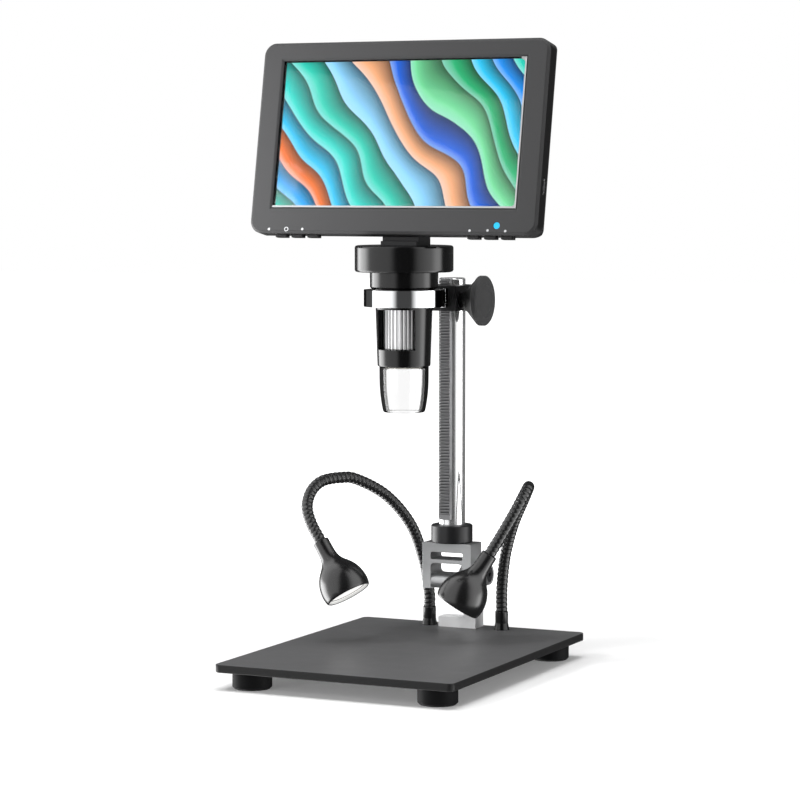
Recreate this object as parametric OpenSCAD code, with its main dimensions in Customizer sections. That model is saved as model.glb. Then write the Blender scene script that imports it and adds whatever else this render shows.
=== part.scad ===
// LCD digital microscope on a rack-and-pinion stand with two gooseneck lamps.
// Millimetres, +Z up, front towards -Y. The origin is on the floor, under the middle of the base plate.

/* [Base] */
// Width of the base plate
plate_w = 149; // [140:1:170]
// Depth of the base plate
plate_d = 197; // [190:1:220]
// Thickness of the base plate
plate_t = 4.7; // [4:0.1:8]
// Corner radius of the base plate
plate_r = 4; // [1:0.5:10]
// Radius of a rubber foot
foot_r = 11.4; // [9:0.1:14]
// Height of a rubber foot
foot_h = 10.3; // [8.5:0.1:14]
// Distance from the plate's edges to the middle of a foot
foot_inset = 16.4; // [14.5:0.1:22]

/* [Tilting stand] */
// Distance from the plate's back edge to the tilt axis
hinge_inset = 10.5; // [8:0.5:14]
// Height of the tilt axis above the plate
hinge_h = 33; // [28:0.5:45]
// Radius of the round hinge ends
ear_r = 6; // [5.5:0.1:7]
// Thickness of the ear and of the block's side walls
ear_t = 5.4; // [4.5:0.1:6]
// Width of the tilting block
block_w = 32; // [30:0.5:36]
// Depth of the tilting block
block_d = 16; // [15:0.5:17]
// Height of the tilting block
block_h = 28; // [27:0.5:34]
// Thickness of the block's bottom bar
block_bar = 8.4; // [5:0.1:9]
// Height of the upper slot in the block
slot_h = 4.5; // [4.2:0.1:5.6]
// Thickness of the web between slot and window
web_t = 2.3; // [1.8:0.1:3]
// Thickness of the wall that the column stands in
block_top = 5.7; // [4:0.1:6.2]
// Thickness of the upright on the hinge foot
upright_t = 8; // [6:0.5:10]
// Thickness of the flange on the hinge foot
flange_t = 6.2; // [5:0.1:8]
// Distance from the tilt axis forward to the column
column_fwd = 21.5; // [20:0.5:24]

/* [Column] */
// Radius of the column
column_r = 8; // [7:0.1:9]
// Height of the column above the tilting block
column_h = 160.3; // [140:0.1:200]
// Radius of the collar nut
nut_r = 12.6; // [11:0.1:14]
// Height of the collar nut
nut_h = 10.8; // [8:0.1:13]
// Width of the rack
rack_w = 6.5; // [5.5:0.1:8]
// Distance from the column's front face to the rack's pitch line
rack_fwd = 3.4; // [2.8:0.1:3.6]
// Tooth module of the rack and pinion
tooth_m = 0.6; // [0.5:0.05:0.65]
// Number of teeth on the pinion
pinion_n = 14; // [12:1:15]

/* [Carriage] */
// Height of the carriage above the collar nut when parked
carriage_gap = 130.5; // [100:0.5:131]
// Half the width of the carriage
carriage_hw = 13; // [12.5:0.1:15]
// Height of the carriage
carriage_h = 14.8; // [14:0.1:18]
// Distance from the column forward to the carriage's front
carriage_fwd = 23; // [22.5:0.1:26]
// Distance from the column forward to the optical axis
arm_reach = 68.5; // [64:0.5:80]
// Outer radius of the holding ring
ring_r = 23.5; // [21:0.1:25]
// Height of the holding ring
ring_h = 9.8; // [8:0.1:10.3]
// Radius of the focus knob
knob_r = 14.9; // [12:0.1:17]
// Thickness of the knob's disc
knob_t = 4; // [3:0.1:6]
// Distance from the carriage's side to the knob's disc
knob_off = 11.8; // [8:0.1:14]

/* [Microscope head] */
// Radius of the neck that the ring holds
neck_r = 18; // [17.5:0.1:18.5]
// Radius of the collar under the disc
collar_r = 19.9; // [19:0.1:22]
// Height of the collar
collar_h = 9.8; // [8:0.1:13]
// Radius of the head disc
disc_r = 28.7; // [26:0.1:32]
// Height of the head disc
disc_h = 15.3; // [10:0.1:17]
// Radius of the barrel at its top
barrel_r1 = 16.6; // [16:0.1:17.4]
// Radius of the barrel at its bottom
barrel_r2 = 15.5; // [15.2:0.1:16.5]
// Length of the barrel
barrel_h = 34.4; // [32:0.1:40]
// Radius of the focus wheel over its ridges
wheel_r = 11.5; // [10.5:0.1:11.8]
// Height of the window in the barrel
window_h = 23.3; // [18:0.1:24]
// Radius of the lens tube
lens_r = 7.5; // [6.5:0.1:8]
// Length of the clear nosepiece
nose_h = 26.6; // [22:0.1:32]
// Outer radius of the nosepiece at its top
nose_r1 = 14.4; // [14.2:0.1:15]
// Outer radius of the nosepiece at its mouth
nose_r2 = 11.6; // [10.8:0.1:12.5]

/* [Monitor] */
// Backward lean of the screen
screen_tilt = 10.7; // [0:0.1:14]
// Width of the visible screen
screen_w = 155; // [140:0.5:160]
// Height of the visible screen
screen_h = 87.2; // [80:0.5:92]
// Bezel width beside the screen
bezel_side = 13.7; // [12.5:0.1:17]
// Bezel height above the screen
bezel_top = 10.9; // [10:0.1:15]
// Bezel height below the screen
bezel_bottom = 15.3; // [15:0.1:18]
// Depth of the monitor's case
case_d = 14; // [13.5:0.1:16]
// Depth of the front bezel piece
bezel_d = 9.5; // [9.5:0.1:10.5]
// Corner radius of the case
case_r = 7.5; // [5:0.5:9]
// Height of the monitor's pivot above the head disc
pivot_up = 10.8; // [10.6:0.1:13]
// Distance from the screen's face back to the pivot
pivot_back = 21.4; // [21.4:0.1:23]
// Distance from the screen's centre down to the pivot
pivot_drop = 51; // [49:0.5:52]
// Width of a button
button_w = 8; // [6:0.1:8.6]
// Distance between neighbouring buttons
button_pitch = 10.4; // [10.3:0.1:11]
// Distance from the case's side to the middle of the outermost button
button_inset = 19.4; // [18:0.1:24]
// Distance from the case's side to the power light
light_inset = 24.5; // [22:0.1:27]
// Height of the data socket below the screen's centre
port_drop = 30; // [25:0.5:36]
// Width of the bevel round the case's front edge
case_bevel = 1.6; // [0.6:0.1:2]
// Width of the battery
batt_w = 88; // [60:1:100]
// Height of the battery
batt_h = 52; // [40:1:56]

/* [Gooseneck lamps] */
// Distance from the middle to a lamp's root
root_x = 24.2; // [24:0.1:28]
// Radius of a gooseneck
neck_tube_r = 3.25; // [2.8:0.05:3.4]
// Height of a lamp's root sleeve
root_h = 11.5; // [9:0.1:12.5]
// Largest radius of a lamp shade
shade_r = 14.6; // [12:0.1:16]
// Length of a lamp shade's bell
bell_h = 20.5; // [18:0.1:24]
// Length of a lamp shade's neck
shade_neck = 16; // [12:0.1:20]
// Radius of a lamp shade's neck
shade_neck_r = 4.8; // [4.4:0.05:5]

/* [Hidden] */

// Clearances
run = 0.05;     // radial clearance of a running fit
slack = 0.1;    // gap between pieces that are screwed together
gap = 0.3;      // gap between pieces that move past each other
eps = 0.01;     // overlap of a cutting tool past a face

// Base
plate_top = foot_h + plate_t;
foot_x = plate_w / 2 - foot_inset;
foot_y = plate_d / 2 - foot_inset;
screw_r = 1.5;
screw_head_r = 3;
screw_head_h = 2.4;
foot_recess_r = 4;
foot_recess_h = 5;

// Tilting stand
hinge_y = plate_d / 2 - hinge_inset;
hinge_z = plate_top + hinge_h;
washer_t = 1.5;
ear_gap = washer_t + 2 * slack;
upright_x = block_w / 2 - ear_t - ear_gap;
bolt_r = 2.5;
bolt_head_r = 4.4;
bolt_head_h = 2.4;
tilt_nut_r = 4.6;
tilt_nut_t = 4;
block_z = hinge_z - ear_r;
block_top_z = block_z + block_h;
window_z = block_z + block_bar;
slot_z = block_top_z - block_top - slot_h;
column_y = hinge_y - column_fwd;

// Column and rack
nut_top = block_top_z + nut_h;
column_top = block_top_z + column_h;
column_foot = block_top_z - block_top + 0.2;
tooth_p = PI * tooth_m;
pinion_r = tooth_m * pinion_n / 2;
rack_pitch_y = column_y - column_r - rack_fwd;
rack_let_in = 2;
rack_tip = 0.8 * tooth_m;
rack_root = 1.25 * tooth_m;
rack_back_y = column_y - column_r + rack_let_in;
rack_z0 = nut_top + 3.7;
rack_z1 = column_top - 0.3;
spigot_r = 6;
rack_plain = 4;
rack_teeth = floor((rack_z1 - rack_z0 - rack_plain) / tooth_p);
rack_first_z = rack_z0 + rack_plain;
pinion_y = rack_pitch_y - pinion_r - 0.05;

// Carriage
carriage_z = nut_top + carriage_gap;
pinion_z = carriage_z + 6.2;
liner_t = 1.3;
liner_r = column_r + run + liner_t;
gear_w = rack_w - 1;
chamber_hw = rack_w / 2 + gap;
chamber_r = pinion_r + tooth_m + 0.5;
shaft_r = 2.5;
bush_r = pinion_r + tooth_m + 0.4;
carriage_front = column_y - carriage_fwd;
arm_hw = 5.2;
arm_flange_hw = 7.4;
arm_flange_t = 3;
tenon_l = pinion_y - chamber_r - carriage_front - 0.6;
ring_z = carriage_z + 4.5;
arm_top = ring_z + 8.9;
flange_z = carriage_z + 2.3;
scope_y = column_y - arm_reach;

// Microscope head, from the ring up and down
barrel_top = ring_z - 0.4;
barrel_bottom = barrel_top - barrel_h;
wheel_floor = barrel_top - 1.2 - window_h;
wheel_pocket_r = wheel_r + 0.7;
window_hw = 12;
collar_z = ring_z + ring_h + 0.5;
collar_top = collar_z + collar_h;
disc_top = collar_top + disc_h;
cavity_r = 15;
cavity_z = barrel_top + 8.6;
nose_bottom = barrel_bottom - nose_h;
nose_wall = 1.7;
led_count = 8;

// Monitor
pivot_y = scope_y + 2;
pivot_z = disc_top + pivot_up;
ear_m_r = 6;
ear_m_x = 5.5;
neck_hw = 11.5;
neck_hd = 9.5;
neck_t = 2.6;
neck_step = 6.9;
knuckle_r = 5;
neck_bed_z = pivot_z - knuckle_r - 0.4;
neck_seat_z = disc_top + 1.5;
pin_r = 2;
case_w = screen_w + 2 * bezel_side;
case_h = screen_h + bezel_top + bezel_bottom;
case_mid = (bezel_top - bezel_bottom) / 2;
case_low = -screen_h / 2 - bezel_bottom;
case_high = screen_h / 2 + bezel_top;
face_t = 1.6;
wall_t = 2.2;
glass_t = 1;
glass_margin = 2;
lcd_t = 3.4;
cover_t = 1.8;
cover_round = 4;
screw_x = case_w / 2 - 7.2;
screw_zs = [case_high - 7.2, case_low + 7.2];
button_d = 4.2;
button_mid = 6.2;
button_out = 1.6;
button_lip = 0.8;
light_r = 1.9;
key_flange = 1.2;
key_travel = 0.9;
switch_z = case_low + wall_t + key_flange + key_travel + 0.1;
lcd_y = face_t + glass_t + 0.02;
board_t = 1.4;
board_y = lcd_y + lcd_t + 0.08;
batt_y = board_y + board_t + 0.1;
strap_t = 1.8;
port_y = 6.2;
port_w = 9.2;
port_t = 3.2;
port_l = 7.6;
port_x = case_w / 2 - 0.3 - port_l;
board_hw = screen_w / 2 + 0.5;
board_top_z = 24;
chip_w = 8;
light_pos = [case_w / 2 - light_inset, case_low + 5.3];

// Gooseneck lamps: each path starts at the root, runs over the crown and ends at the shade
ball_r = neck_tube_r + 0.08;
ball_gap = 0.3;
socket_off = 1.3;
tube_sides = 12;
rib_pitch = 2.9;
rib_depth = 0.55;
root_y = hinge_y - 1;
root_z = plate_top + root_h;
root_r = 3.9;
stub_r = 2.4;
stud_r = 3;
crown_right = 5;
crown_left = 6;
path_right = [for (p = [[0, 0, root_h + 0.2], [0.2, 0, 27], [3, -1, 47], [10, -5.5, 66], [20.5, -14, 83],
    [28, -25, 91.5], [28.5, -34.5, 86.5], [25.2, -41, 76.5], [19.6, -46, 64.5], [13.8, -49, 53.9]])
    [root_x + p[0], root_y + p[1], plate_top + p[2]]];
path_left = [for (p = [[0, 0, root_h + 0.2], [0.2, 0, 20], [3, -1.5, 39], [8, -10, 62.5], [18.5, -23, 81.5],
    [31, -39, 92.5], [38, -48, 94], [45, -58, 92.5], [48, -66.5, 87], [46.8, -74.5, 78.5], [41.8, -79, 69.5],
    [34.8, -81.6, 60.3]])
    [-root_x - p[0], root_y + p[1], plate_top + p[2]]];
shade_lean_right = 32.2;
shade_turn_right = 203.6;
shade_lean_left = 33;
shade_turn_left = -6.8;
shade_wall = 1.3;
mouth_r = shade_r - 1;
ceiling_drop = 0.32 * bell_h;
lens_inset = 1.2;
lens_t = 1.6;

$fn = 48;

// ---------------------------------------------------------------- shared shapes

// Rectangle with round corners, centred
module round_rect(w, h, r) {
    square([w - 2 * r, h], center = true);
    square([w, h - 2 * r], center = true);
    for (x = [-1, 1], y = [-1, 1])
        translate([x * (w / 2 - r), y * (h / 2 - r)]) circle(r);
}

// Cylinder along +X that starts at x0
module bar_x(x0, x1, r, sides = 48) {
    translate([x0, 0, 0]) rotate([0, 90, 0]) cylinder(h = x1 - x0, r = r, $fn = sides);
}

// Box from one corner to the opposite one
module box(a, b) {
    translate(a) cube(b - a);
}

// Countersunk-free machine screw that points up, with a hex socket in its head
module screw(r, head_r, head_h, length) {
    difference() {
        union() {
            cylinder(h = head_h, r = head_r);
            cylinder(h = head_h + length, r = r);
        }
        translate([0, 0, -eps]) cylinder(h = head_h * 0.6, r = head_r * 0.5, $fn = 6);
    }
}

// Places its children in the monitor's leaning frame: x right, y back from the screen's face, z up the screen
module at_monitor() {
    translate([0, pivot_y, pivot_z]) rotate([-screen_tilt, 0, 0]) translate([0, -pivot_back, pivot_drop])
        children();
}

// Slab of the monitor between two depths, from a 2D outline in its x and z
module slab(d0, d1) {
    translate([0, d1, 0]) rotate([90, 0, 0]) linear_extrude(d1 - d0) children();
}

// ---------------------------------------------------------------- base

module base_screw_places() {
    for (x = [-1, 1], y = [-1, 1]) translate([x * foot_x, y * foot_y, 0]) children();
    for (x = flange_screw_xs()) translate([x, hinge_y, 0]) children();
}

function flange_screw_xs() = [-block_w / 2 + 5.5, upright_x - upright_t / 2];

module base_plate() {
    color("dimgray") difference() {
        translate([0, 0, foot_h]) linear_extrude(plate_t) round_rect(plate_w, plate_d, plate_r);
        for (x = [-1, 1], y = [-1, 1])
            translate([x * foot_x, y * foot_y, foot_h - eps]) cylinder(h = plate_t - 1, r = screw_r + run);
        for (x = flange_screw_xs()) translate([x, hinge_y, foot_h - eps]) {
            cylinder(h = plate_t + 1, r = screw_r + slack);
            cylinder(h = screw_head_h + slack, r = screw_head_r + slack);
        }
        for (x = [-root_x, root_x]) translate([x, root_y, foot_h - eps])
            cylinder(h = plate_t + 1, r = stud_r + slack);
    }
}

// Rubber foot with a chamfered rim and a recess for its screw
module foot(x, y) {
    rim = 1.2;
    color("black") translate([x * foot_x, y * foot_y, 0]) rotate_extrude() polygon([
        [foot_recess_r, 0], [foot_r - rim, 0], [foot_r, rim], [foot_r, foot_h], [screw_r + slack, foot_h],
        [screw_r + slack, foot_recess_h], [foot_recess_r, foot_recess_h]]);
}

module base_screws() {
    color("silver") {
        for (x = [-1, 1], y = [-1, 1])
            translate([x * foot_x, y * foot_y, foot_recess_h - screw_head_h])
                screw(screw_r, screw_head_r, screw_head_h, foot_h - foot_recess_h + plate_t - 1.6);
        for (x = flange_screw_xs())
            translate([x, hinge_y, foot_h]) screw(screw_r, screw_head_r, screw_head_h, plate_t - screw_head_h + 4);
    }
}

// Angle piece: a flange on the plate and an upright that carries the tilt axis
module hinge_foot() {
    fillet = 2;
    color("silver") difference() {
        union() {
            translate([0, hinge_y + ear_r, plate_top]) rotate([90, 0, 0]) linear_extrude(2 * ear_r) difference() {
                union() {
                    translate([-block_w / 2, 0]) square([block_w / 2 + upright_x, flange_t]);
                    translate([upright_x - upright_t, 0]) square([upright_t, hinge_h]);
                    translate([upright_x - upright_t - fillet, flange_t - eps]) square(fillet + eps);
                }
                translate([upright_x - upright_t - fillet, flange_t + fillet]) circle(fillet);
            }
            translate([0, hinge_y, hinge_z]) bar_x(upright_x - upright_t, upright_x, ear_r);
        }
        translate([0, hinge_y, hinge_z]) bar_x(upright_x - upright_t - 1, upright_x + 1, bolt_r + run);
        for (x = flange_screw_xs()) translate([x, hinge_y, plate_top - eps]) cylinder(h = 4.5, r = screw_r + run);
    }
}

module tilt_bolt() {
    head_x = block_w / 2 - slack;
    socket_depth = 1.6;
    color("dimgray") translate([0, hinge_y, hinge_z]) difference() {
        union() {
            bar_x(head_x - bolt_head_h, head_x, bolt_head_r);
            bar_x(upright_x - upright_t - tilt_nut_t - 0.8, head_x - eps, bolt_r);
        }
        bar_x(head_x - socket_depth, head_x + 1, 1.7, 6);
    }
}

module tilt_washer() {
    color("white") translate([0, hinge_y, hinge_z]) difference() {
        bar_x(upright_x + slack, upright_x + slack + washer_t, ear_r - 0.5);
        bar_x(upright_x, upright_x + ear_gap, bolt_r + run);
    }
}

module tilt_nut() {
    far = upright_x - upright_t - 0.02;
    color("dimgray") translate([0, hinge_y, hinge_z]) difference() {
        bar_x(far - tilt_nut_t, far, tilt_nut_r, 6);
        bar_x(far - tilt_nut_t - 1, far + 1, bolt_r + run);
    }
}

// ---------------------------------------------------------------- tilting block and column

// Extruded block with a slot, a window over a round-nosed cross bar, and one ear that reaches back to the axis
module tilt_block() {
    inner_hw = block_w / 2 - ear_t;
    head_seat = bolt_head_h + 2 * slack;
    color("lightgray") difference() {
        union() {
            translate([0, column_y + block_d / 2, block_z]) rotate([90, 0, 0]) linear_extrude(block_d)
                translate([0, block_h / 2]) round_rect(block_w, block_h, 0.6);
            translate([0, 0, hinge_z]) {
                translate([0, hinge_y, 0]) bar_x(inner_hw, block_w / 2, ear_r);
                box([inner_hw, column_y, -ear_r], [block_w / 2, hinge_y, ear_r]);
            }
        }
        translate([0, column_y + block_d, 0]) rotate([90, 0, 0]) linear_extrude(2 * block_d) {
            translate([0, slot_z + slot_h / 2]) round_rect(2 * inner_hw, slot_h, 1);
            translate([0, (window_z + slot_z - web_t) / 2])
                round_rect(2 * inner_hw, slot_z - web_t - window_z, 2.5);
        }
        translate([0, column_y - block_d / 2, block_z]) rotate([90, 0, 90])
            linear_extrude(2 * inner_hw, center = true) difference() {
                translate([-1, -1]) square([1 + block_bar / 2, block_bar + 2]);
                translate([block_bar / 2, block_bar / 2]) circle(block_bar / 2);
            }
        translate([0, column_y, block_top_z - block_top - eps]) cylinder(h = block_top + 1, r = spigot_r + run);
        translate([0, hinge_y, hinge_z]) {
            bar_x(inner_hw - 1, block_w / 2 + 1, bolt_r + run);
            bar_x(block_w / 2 - head_seat, block_w / 2 + 1, bolt_head_r + 2 * slack);
        }
    }
}

module column_nut() {
    rim = 0.6;
    color("black") translate([0, column_y, block_top_z]) rotate_extrude() polygon([
        [column_r + run, 0], [nut_r - rim, 0], [nut_r, rim], [nut_r, nut_h - rim], [nut_r - rim, nut_h],
        [column_r + run, nut_h]]);
}

module column() {
    rim = 0.8;
    color("silver") difference() {
        translate([0, column_y, 0]) rotate_extrude() polygon([
            [0, column_foot], [spigot_r, column_foot], [spigot_r, block_top_z], [column_r, block_top_z],
            [column_r, column_top - rim],
            [column_r - rim, column_top], [0, column_top]]);
        box([-rack_w / 2 - run, column_y - column_r - 1, rack_z0 - slack],
            [rack_w / 2 + run, rack_back_y + run, column_top + 1]);
    }
}

// One rack tooth as four corners, across [y, z], for the tooth centred on z
function rack_tooth(z) = let (half = tooth_p / 4, s = tan(20)) [
    [rack_pitch_y + rack_root, z - half - rack_root * s],
    [rack_pitch_y - rack_tip, z - half + rack_tip * s],
    [rack_pitch_y - rack_tip, z + half - rack_tip * s],
    [rack_pitch_y + rack_root, z + half + rack_root * s]];

module rack() {
    teeth = [for (i = [0:rack_teeth - 1]) each rack_tooth(rack_first_z + i * tooth_p)];
    front = rack_pitch_y + rack_root;
    outline = concat([[rack_back_y, rack_z0], [front, rack_z0]], teeth, [[front, rack_z1], [rack_back_y, rack_z1]]);
    color("silver") translate([-rack_w / 2, 0, 0]) rotate([90, 0, 90]) linear_extrude(rack_w) polygon(outline);
}

// ---------------------------------------------------------------- carriage

// Outline of the carriage seen from above: a block in front, round behind the column
module carriage_outline(hw) {
    translate([-hw, carriage_front]) square([2 * hw, carriage_fwd]);
    translate([0, column_y]) circle(hw);
}

module carriage_housing() {
    color("black") difference() {
        translate([0, 0, carriage_z]) linear_extrude(carriage_h) carriage_outline(carriage_hw);
        translate([0, column_y, carriage_z - 1]) cylinder(h = carriage_h + 2, r = liner_r + run);
        box([-rack_w / 2 - gap - 0.1, rack_pitch_y - rack_tip - 0.5, carriage_z - 1],
            [rack_w / 2 + gap + 0.1, column_y, carriage_z + carriage_h + 1]);
        translate([0, pinion_y, pinion_z]) {
            bar_x(-chamber_hw, chamber_hw, chamber_r);
            bar_x(-carriage_hw + 2, 0, shaft_r + run);
            bar_x(0, carriage_hw + 1, bush_r + run);
        }
        box([-arm_hw - run, carriage_front - 1, ring_z - run],
            [arm_hw + run, carriage_front + tenon_l + slack, arm_top + run]);
    }
}

// Plastic liner that slides on the column, open in front for the rack
module carriage_liner() {
    color("ivory") translate([0, 0, carriage_z + 0.5]) difference() {
        translate([0, column_y, 0]) cylinder(h = carriage_h - 1, r = liner_r);
        translate([0, column_y, -1]) cylinder(h = carriage_h + 2, r = column_r + run);
        box([-rack_w / 2 - gap - 0.1, column_y - 2 * column_r, -1],
            [rack_w / 2 + gap + 0.1, column_y, carriage_h + 1]);
        translate([0, pinion_y, pinion_z - carriage_z - 0.5]) bar_x(-carriage_hw, carriage_hw, bush_r + slack);
    }
}

module pinion_bush() {
    color("goldenrod") translate([0, pinion_y, pinion_z]) difference() {
        bar_x(chamber_hw, carriage_hw, bush_r);
        bar_x(chamber_hw - 1, carriage_hw + 1, shaft_r + run);
    }
}

module ring_arm() {
    color("silver") difference() {
        union() {
            translate([0, scope_y, ring_z]) cylinder(h = ring_h, r = ring_r);
            box([-arm_hw, scope_y + neck_r, ring_z], [arm_hw, carriage_front + tenon_l, arm_top]);
            box([-arm_flange_hw, carriage_front - arm_flange_t, flange_z], [arm_flange_hw, carriage_front, arm_top]);
        }
        translate([0, scope_y, ring_z - 1]) cylinder(h = ring_h + 2, r = neck_r + run);
    }
}

// Involute of a circle: the angle between the tooth's start and a point of the flank at radius r
function flank(r, base) = r <= base ? 0 : tan(acos(base / r)) * 180 / PI - acos(base / r);

// Outline of a spur gear, centred on a gap at angle 0
module gear(n, m, thin) {
    pitch = n * m / 2;
    base = pitch * cos(20);
    tip = pitch + m;
    root = pitch - 1.25 * m;
    half = (90 / n) - (thin / 2) / pitch * 180 / PI + flank(pitch, base);
    steps = [0, 0.3, 0.65, 1];
    radii = [for (s = steps) base + (tip - base) * s];
    side = concat([[root, half + 0]], [for (r = radii) [r, half - flank(r, base)]]);
    tooth = concat([for (p = side) [p[0], -p[1]]], [for (i = [len(side) - 1:-1:0]) side[i]]);
    polygon([for (i = [0:n - 1], p = tooth) let (a = (i + 0.5) * 360 / n + p[1]) p[0] * [cos(a), sin(a)]]);
}

// Shaft with its pinion, turned so that its teeth mesh with the rack where the carriage is parked
module pinion_shaft() {
    shift = (pinion_z - rack_first_z) / tooth_p;
    phase = -(shift - round(shift)) * tooth_p / pinion_r * 180 / PI;
    color("gray") translate([0, pinion_y, pinion_z]) {
        rotate([phase, 0, 0]) translate([-gear_w / 2, 0, 0]) rotate([90, 0, 90]) linear_extrude(gear_w)
            gear(pinion_n, tooth_m, 0.12);
        bar_x(-carriage_hw + 2.3, carriage_hw + knob_off + knob_t - 1.5, shaft_r);
    }
}

// Flat knob on a conical hub, with a shallow round dish in its face
module focus_knob() {
    hub_x = carriage_hw + gap;
    back_x = carriage_hw + knob_off;
    face_x = back_x + knob_t;
    rim = 0.7;
    dish_r = knob_r * 0.64;
    color("black") translate([0, pinion_y, pinion_z]) rotate([0, 90, 0]) rotate_extrude() polygon([
        [shaft_r + run, hub_x], [4.6, hub_x], [7.4, hub_x + 5], [knob_r - rim, back_x], [knob_r, back_x + rim],
        [knob_r, face_x - rim], [knob_r - rim, face_x], [dish_r + 0.5, face_x], [dish_r, face_x - 0.5],
        [0, face_x - 0.5], [0, face_x - 1.4], [shaft_r + run, face_x - 1.4]]);
}

// ---------------------------------------------------------------- microscope head

// Tapered barrel, open at the top, with a window front and back for the focus wheel
module head_barrel() {
    round_edge = 0.8;
    color("black") difference() {
        translate([0, scope_y, 0]) rotate_extrude() polygon([
            [lens_r + run, barrel_bottom], [barrel_r2 - round_edge, barrel_bottom],
            [barrel_r2 - 0.2, barrel_bottom + 0.2], [barrel_r2, barrel_bottom + round_edge],
            [barrel_r1, barrel_top], [wheel_pocket_r, barrel_top], [wheel_pocket_r, wheel_floor],
            [lens_r + run, wheel_floor]]);
        box([-window_hw, scope_y - 2 * barrel_r1, wheel_floor],
            [window_hw, scope_y + 2 * barrel_r1, wheel_floor + window_h]);
    }
}

// Ridged ring that turns round the lens tube
module focus_wheel() {
    ridges = 28;
    ridge_r = 0.75;
    color("silver") translate([0, scope_y, wheel_floor + gap]) difference() {
        linear_extrude(barrel_top - wheel_floor - 2 * gap) {
            circle(wheel_r - ridge_r);
            for (i = [0:ridges - 1]) rotate(i * 360 / ridges) translate([wheel_r - ridge_r, 0]) circle(ridge_r);
        }
        translate([0, 0, -1]) cylinder(h = barrel_h, r = lens_r + run);
    }
}

// Neck that the ring holds, with the collar above it and a cavity for the sensor
module head_collar() {
    rim = 1;
    color("black") translate([0, scope_y, 0]) rotate_extrude() polygon([
        [lens_r + gap, barrel_top], [neck_r, barrel_top], [neck_r, collar_z], [collar_r - rim, collar_z],
        [collar_r, collar_z + rim], [collar_r, collar_top], [cavity_r, collar_top], [cavity_r, cavity_z],
        [lens_r + gap, cavity_z]]);
}

module head_disc() {
    rim = 1.2;
    color("black") translate([0, scope_y, 0]) rotate_extrude() polygon([
        [4, collar_top], [disc_r - rim, collar_top], [disc_r - 0.35, collar_top + 0.35],
        [disc_r, collar_top + rim], [disc_r, disc_top - rim], [disc_r - 0.35, disc_top - 0.35],
        [disc_r - rim, disc_top], [4, disc_top]]);
}

module nosepiece() {
    shoulder = nose_bottom + 2.5;
    bend = nose_bottom + 8.5;
    color("aliceblue", 0.5) translate([0, scope_y, 0]) rotate_extrude() polygon([
        [nose_r1 - nose_wall, barrel_bottom], [nose_r1, barrel_bottom], [nose_r1 - 0.1, barrel_bottom - 9],
        [nose_r1 - 0.5, bend + 5], [nose_r1 - 1.1, bend], [nose_r2 + 0.6, shoulder], [nose_r2, nose_bottom],
        [nose_r2 - nose_wall, nose_bottom], [nose_r2 + 0.6 - nose_wall, shoulder],
        [nose_r1 - 1.1 - nose_wall, bend], [nose_r1 - 0.5 - nose_wall, bend + 5],
        [nose_r1 - 0.1 - nose_wall, barrel_bottom - 9]]);
}

module led_ring_board() {
    color("white") translate([0, scope_y, barrel_bottom - 1.2]) difference() {
        cylinder(h = 1.2, r = nose_r1 - nose_wall - slack);
        translate([0, 0, -1]) cylinder(h = 4, r = lens_r + 0.6);
    }
}

module ring_leds() {
    led_path = (lens_r + 0.6 + nose_r1 - nose_wall) / 2;
    color("lightyellow") translate([0, scope_y, barrel_bottom - 1.2]) for (i = [0:led_count - 1])
        rotate([0, 0, i * 360 / led_count]) translate([led_path, 0, -0.8]) cylinder(h = 0.8, r = 1.4);
}

module lens_tube() {
    color("dimgray") translate([0, scope_y, barrel_bottom + 3.4]) difference() {
        cylinder(h = 36, r = lens_r);
        translate([0, 0, 2]) cylinder(h = 40, r = lens_r - 1.6);
        translate([0, 0, -1]) cylinder(h = 40, r = lens_r - 3);
    }
}

// Lens with two curved faces, seated on the tube's inner ledge
module objective_lens() {
    ball = 13;
    half = 1.6;
    color("lightblue", 0.4) translate([0, scope_y, barrel_bottom + 5.4]) intersection() {
        cylinder(h = 2 * half, r = lens_r - 1.6 - run);
        translate([0, 0, half + ball - half - 0.4]) sphere(ball);
        translate([0, 0, half - ball + half + 0.4]) sphere(ball);
    }
}

module sensor_board() {
    color("green") translate([0, scope_y, cavity_z]) {
        translate([-10, -10, 0]) cube([20, 20, 1.4]);
        translate([-4, -4, -1]) cube([8, 8, 1 + eps]);
        translate([-3, 4.5, 1.4 - eps]) cube([6, 4, 3]);
    }
}

// ---------------------------------------------------------------- monitor mount

function neck_screw_ys() = [-3.6, 6.4];

// Block on the disc with a front ledge, a bed for the knuckle and two cheeks that carry the pin
module monitor_neck() {
    cheek_t = neck_hw - ear_m_x;
    color("black") difference() {
        union() {
            box([-neck_hw, pivot_y - neck_hd, disc_top], [neck_hw, pivot_y + neck_hd, disc_top + neck_t]);
            box([-neck_hw, pivot_y - neck_step, disc_top], [neck_hw, pivot_y + neck_hd, neck_bed_z]);
            for (x = [-neck_hw, ear_m_x]) translate([x, 0, 0]) {
                box([0, pivot_y - ear_m_r, disc_top], [cheek_t, pivot_y + ear_m_r, pivot_z]);
                translate([0, pivot_y, pivot_z]) bar_x(0, cheek_t, ear_m_r);
            }
        }
        translate([0, pivot_y, pivot_z]) bar_x(-neck_hw - 1, neck_hw + 1, pin_r + run);
        for (y = neck_screw_ys()) translate([0, pivot_y + y, 0]) {
            translate([0, 0, disc_top - 1]) cylinder(h = pivot_up, r = 1.1 + slack);
            translate([0, 0, neck_seat_z - slack]) cylinder(h = pivot_up, r = 2.1 + slack);
        }
    }
}

module neck_screws() {
    color("dimgray") for (y = neck_screw_ys()) translate([0, pivot_y + y, neck_seat_z + 1.6])
        mirror([0, 0, 1]) screw(1.1, 2.1, 1.6, 1.4);
}

module hinge_pin() {
    color("silver") translate([0, pivot_y, pivot_z]) bar_x(-neck_hw, neck_hw, pin_r);
}

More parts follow.
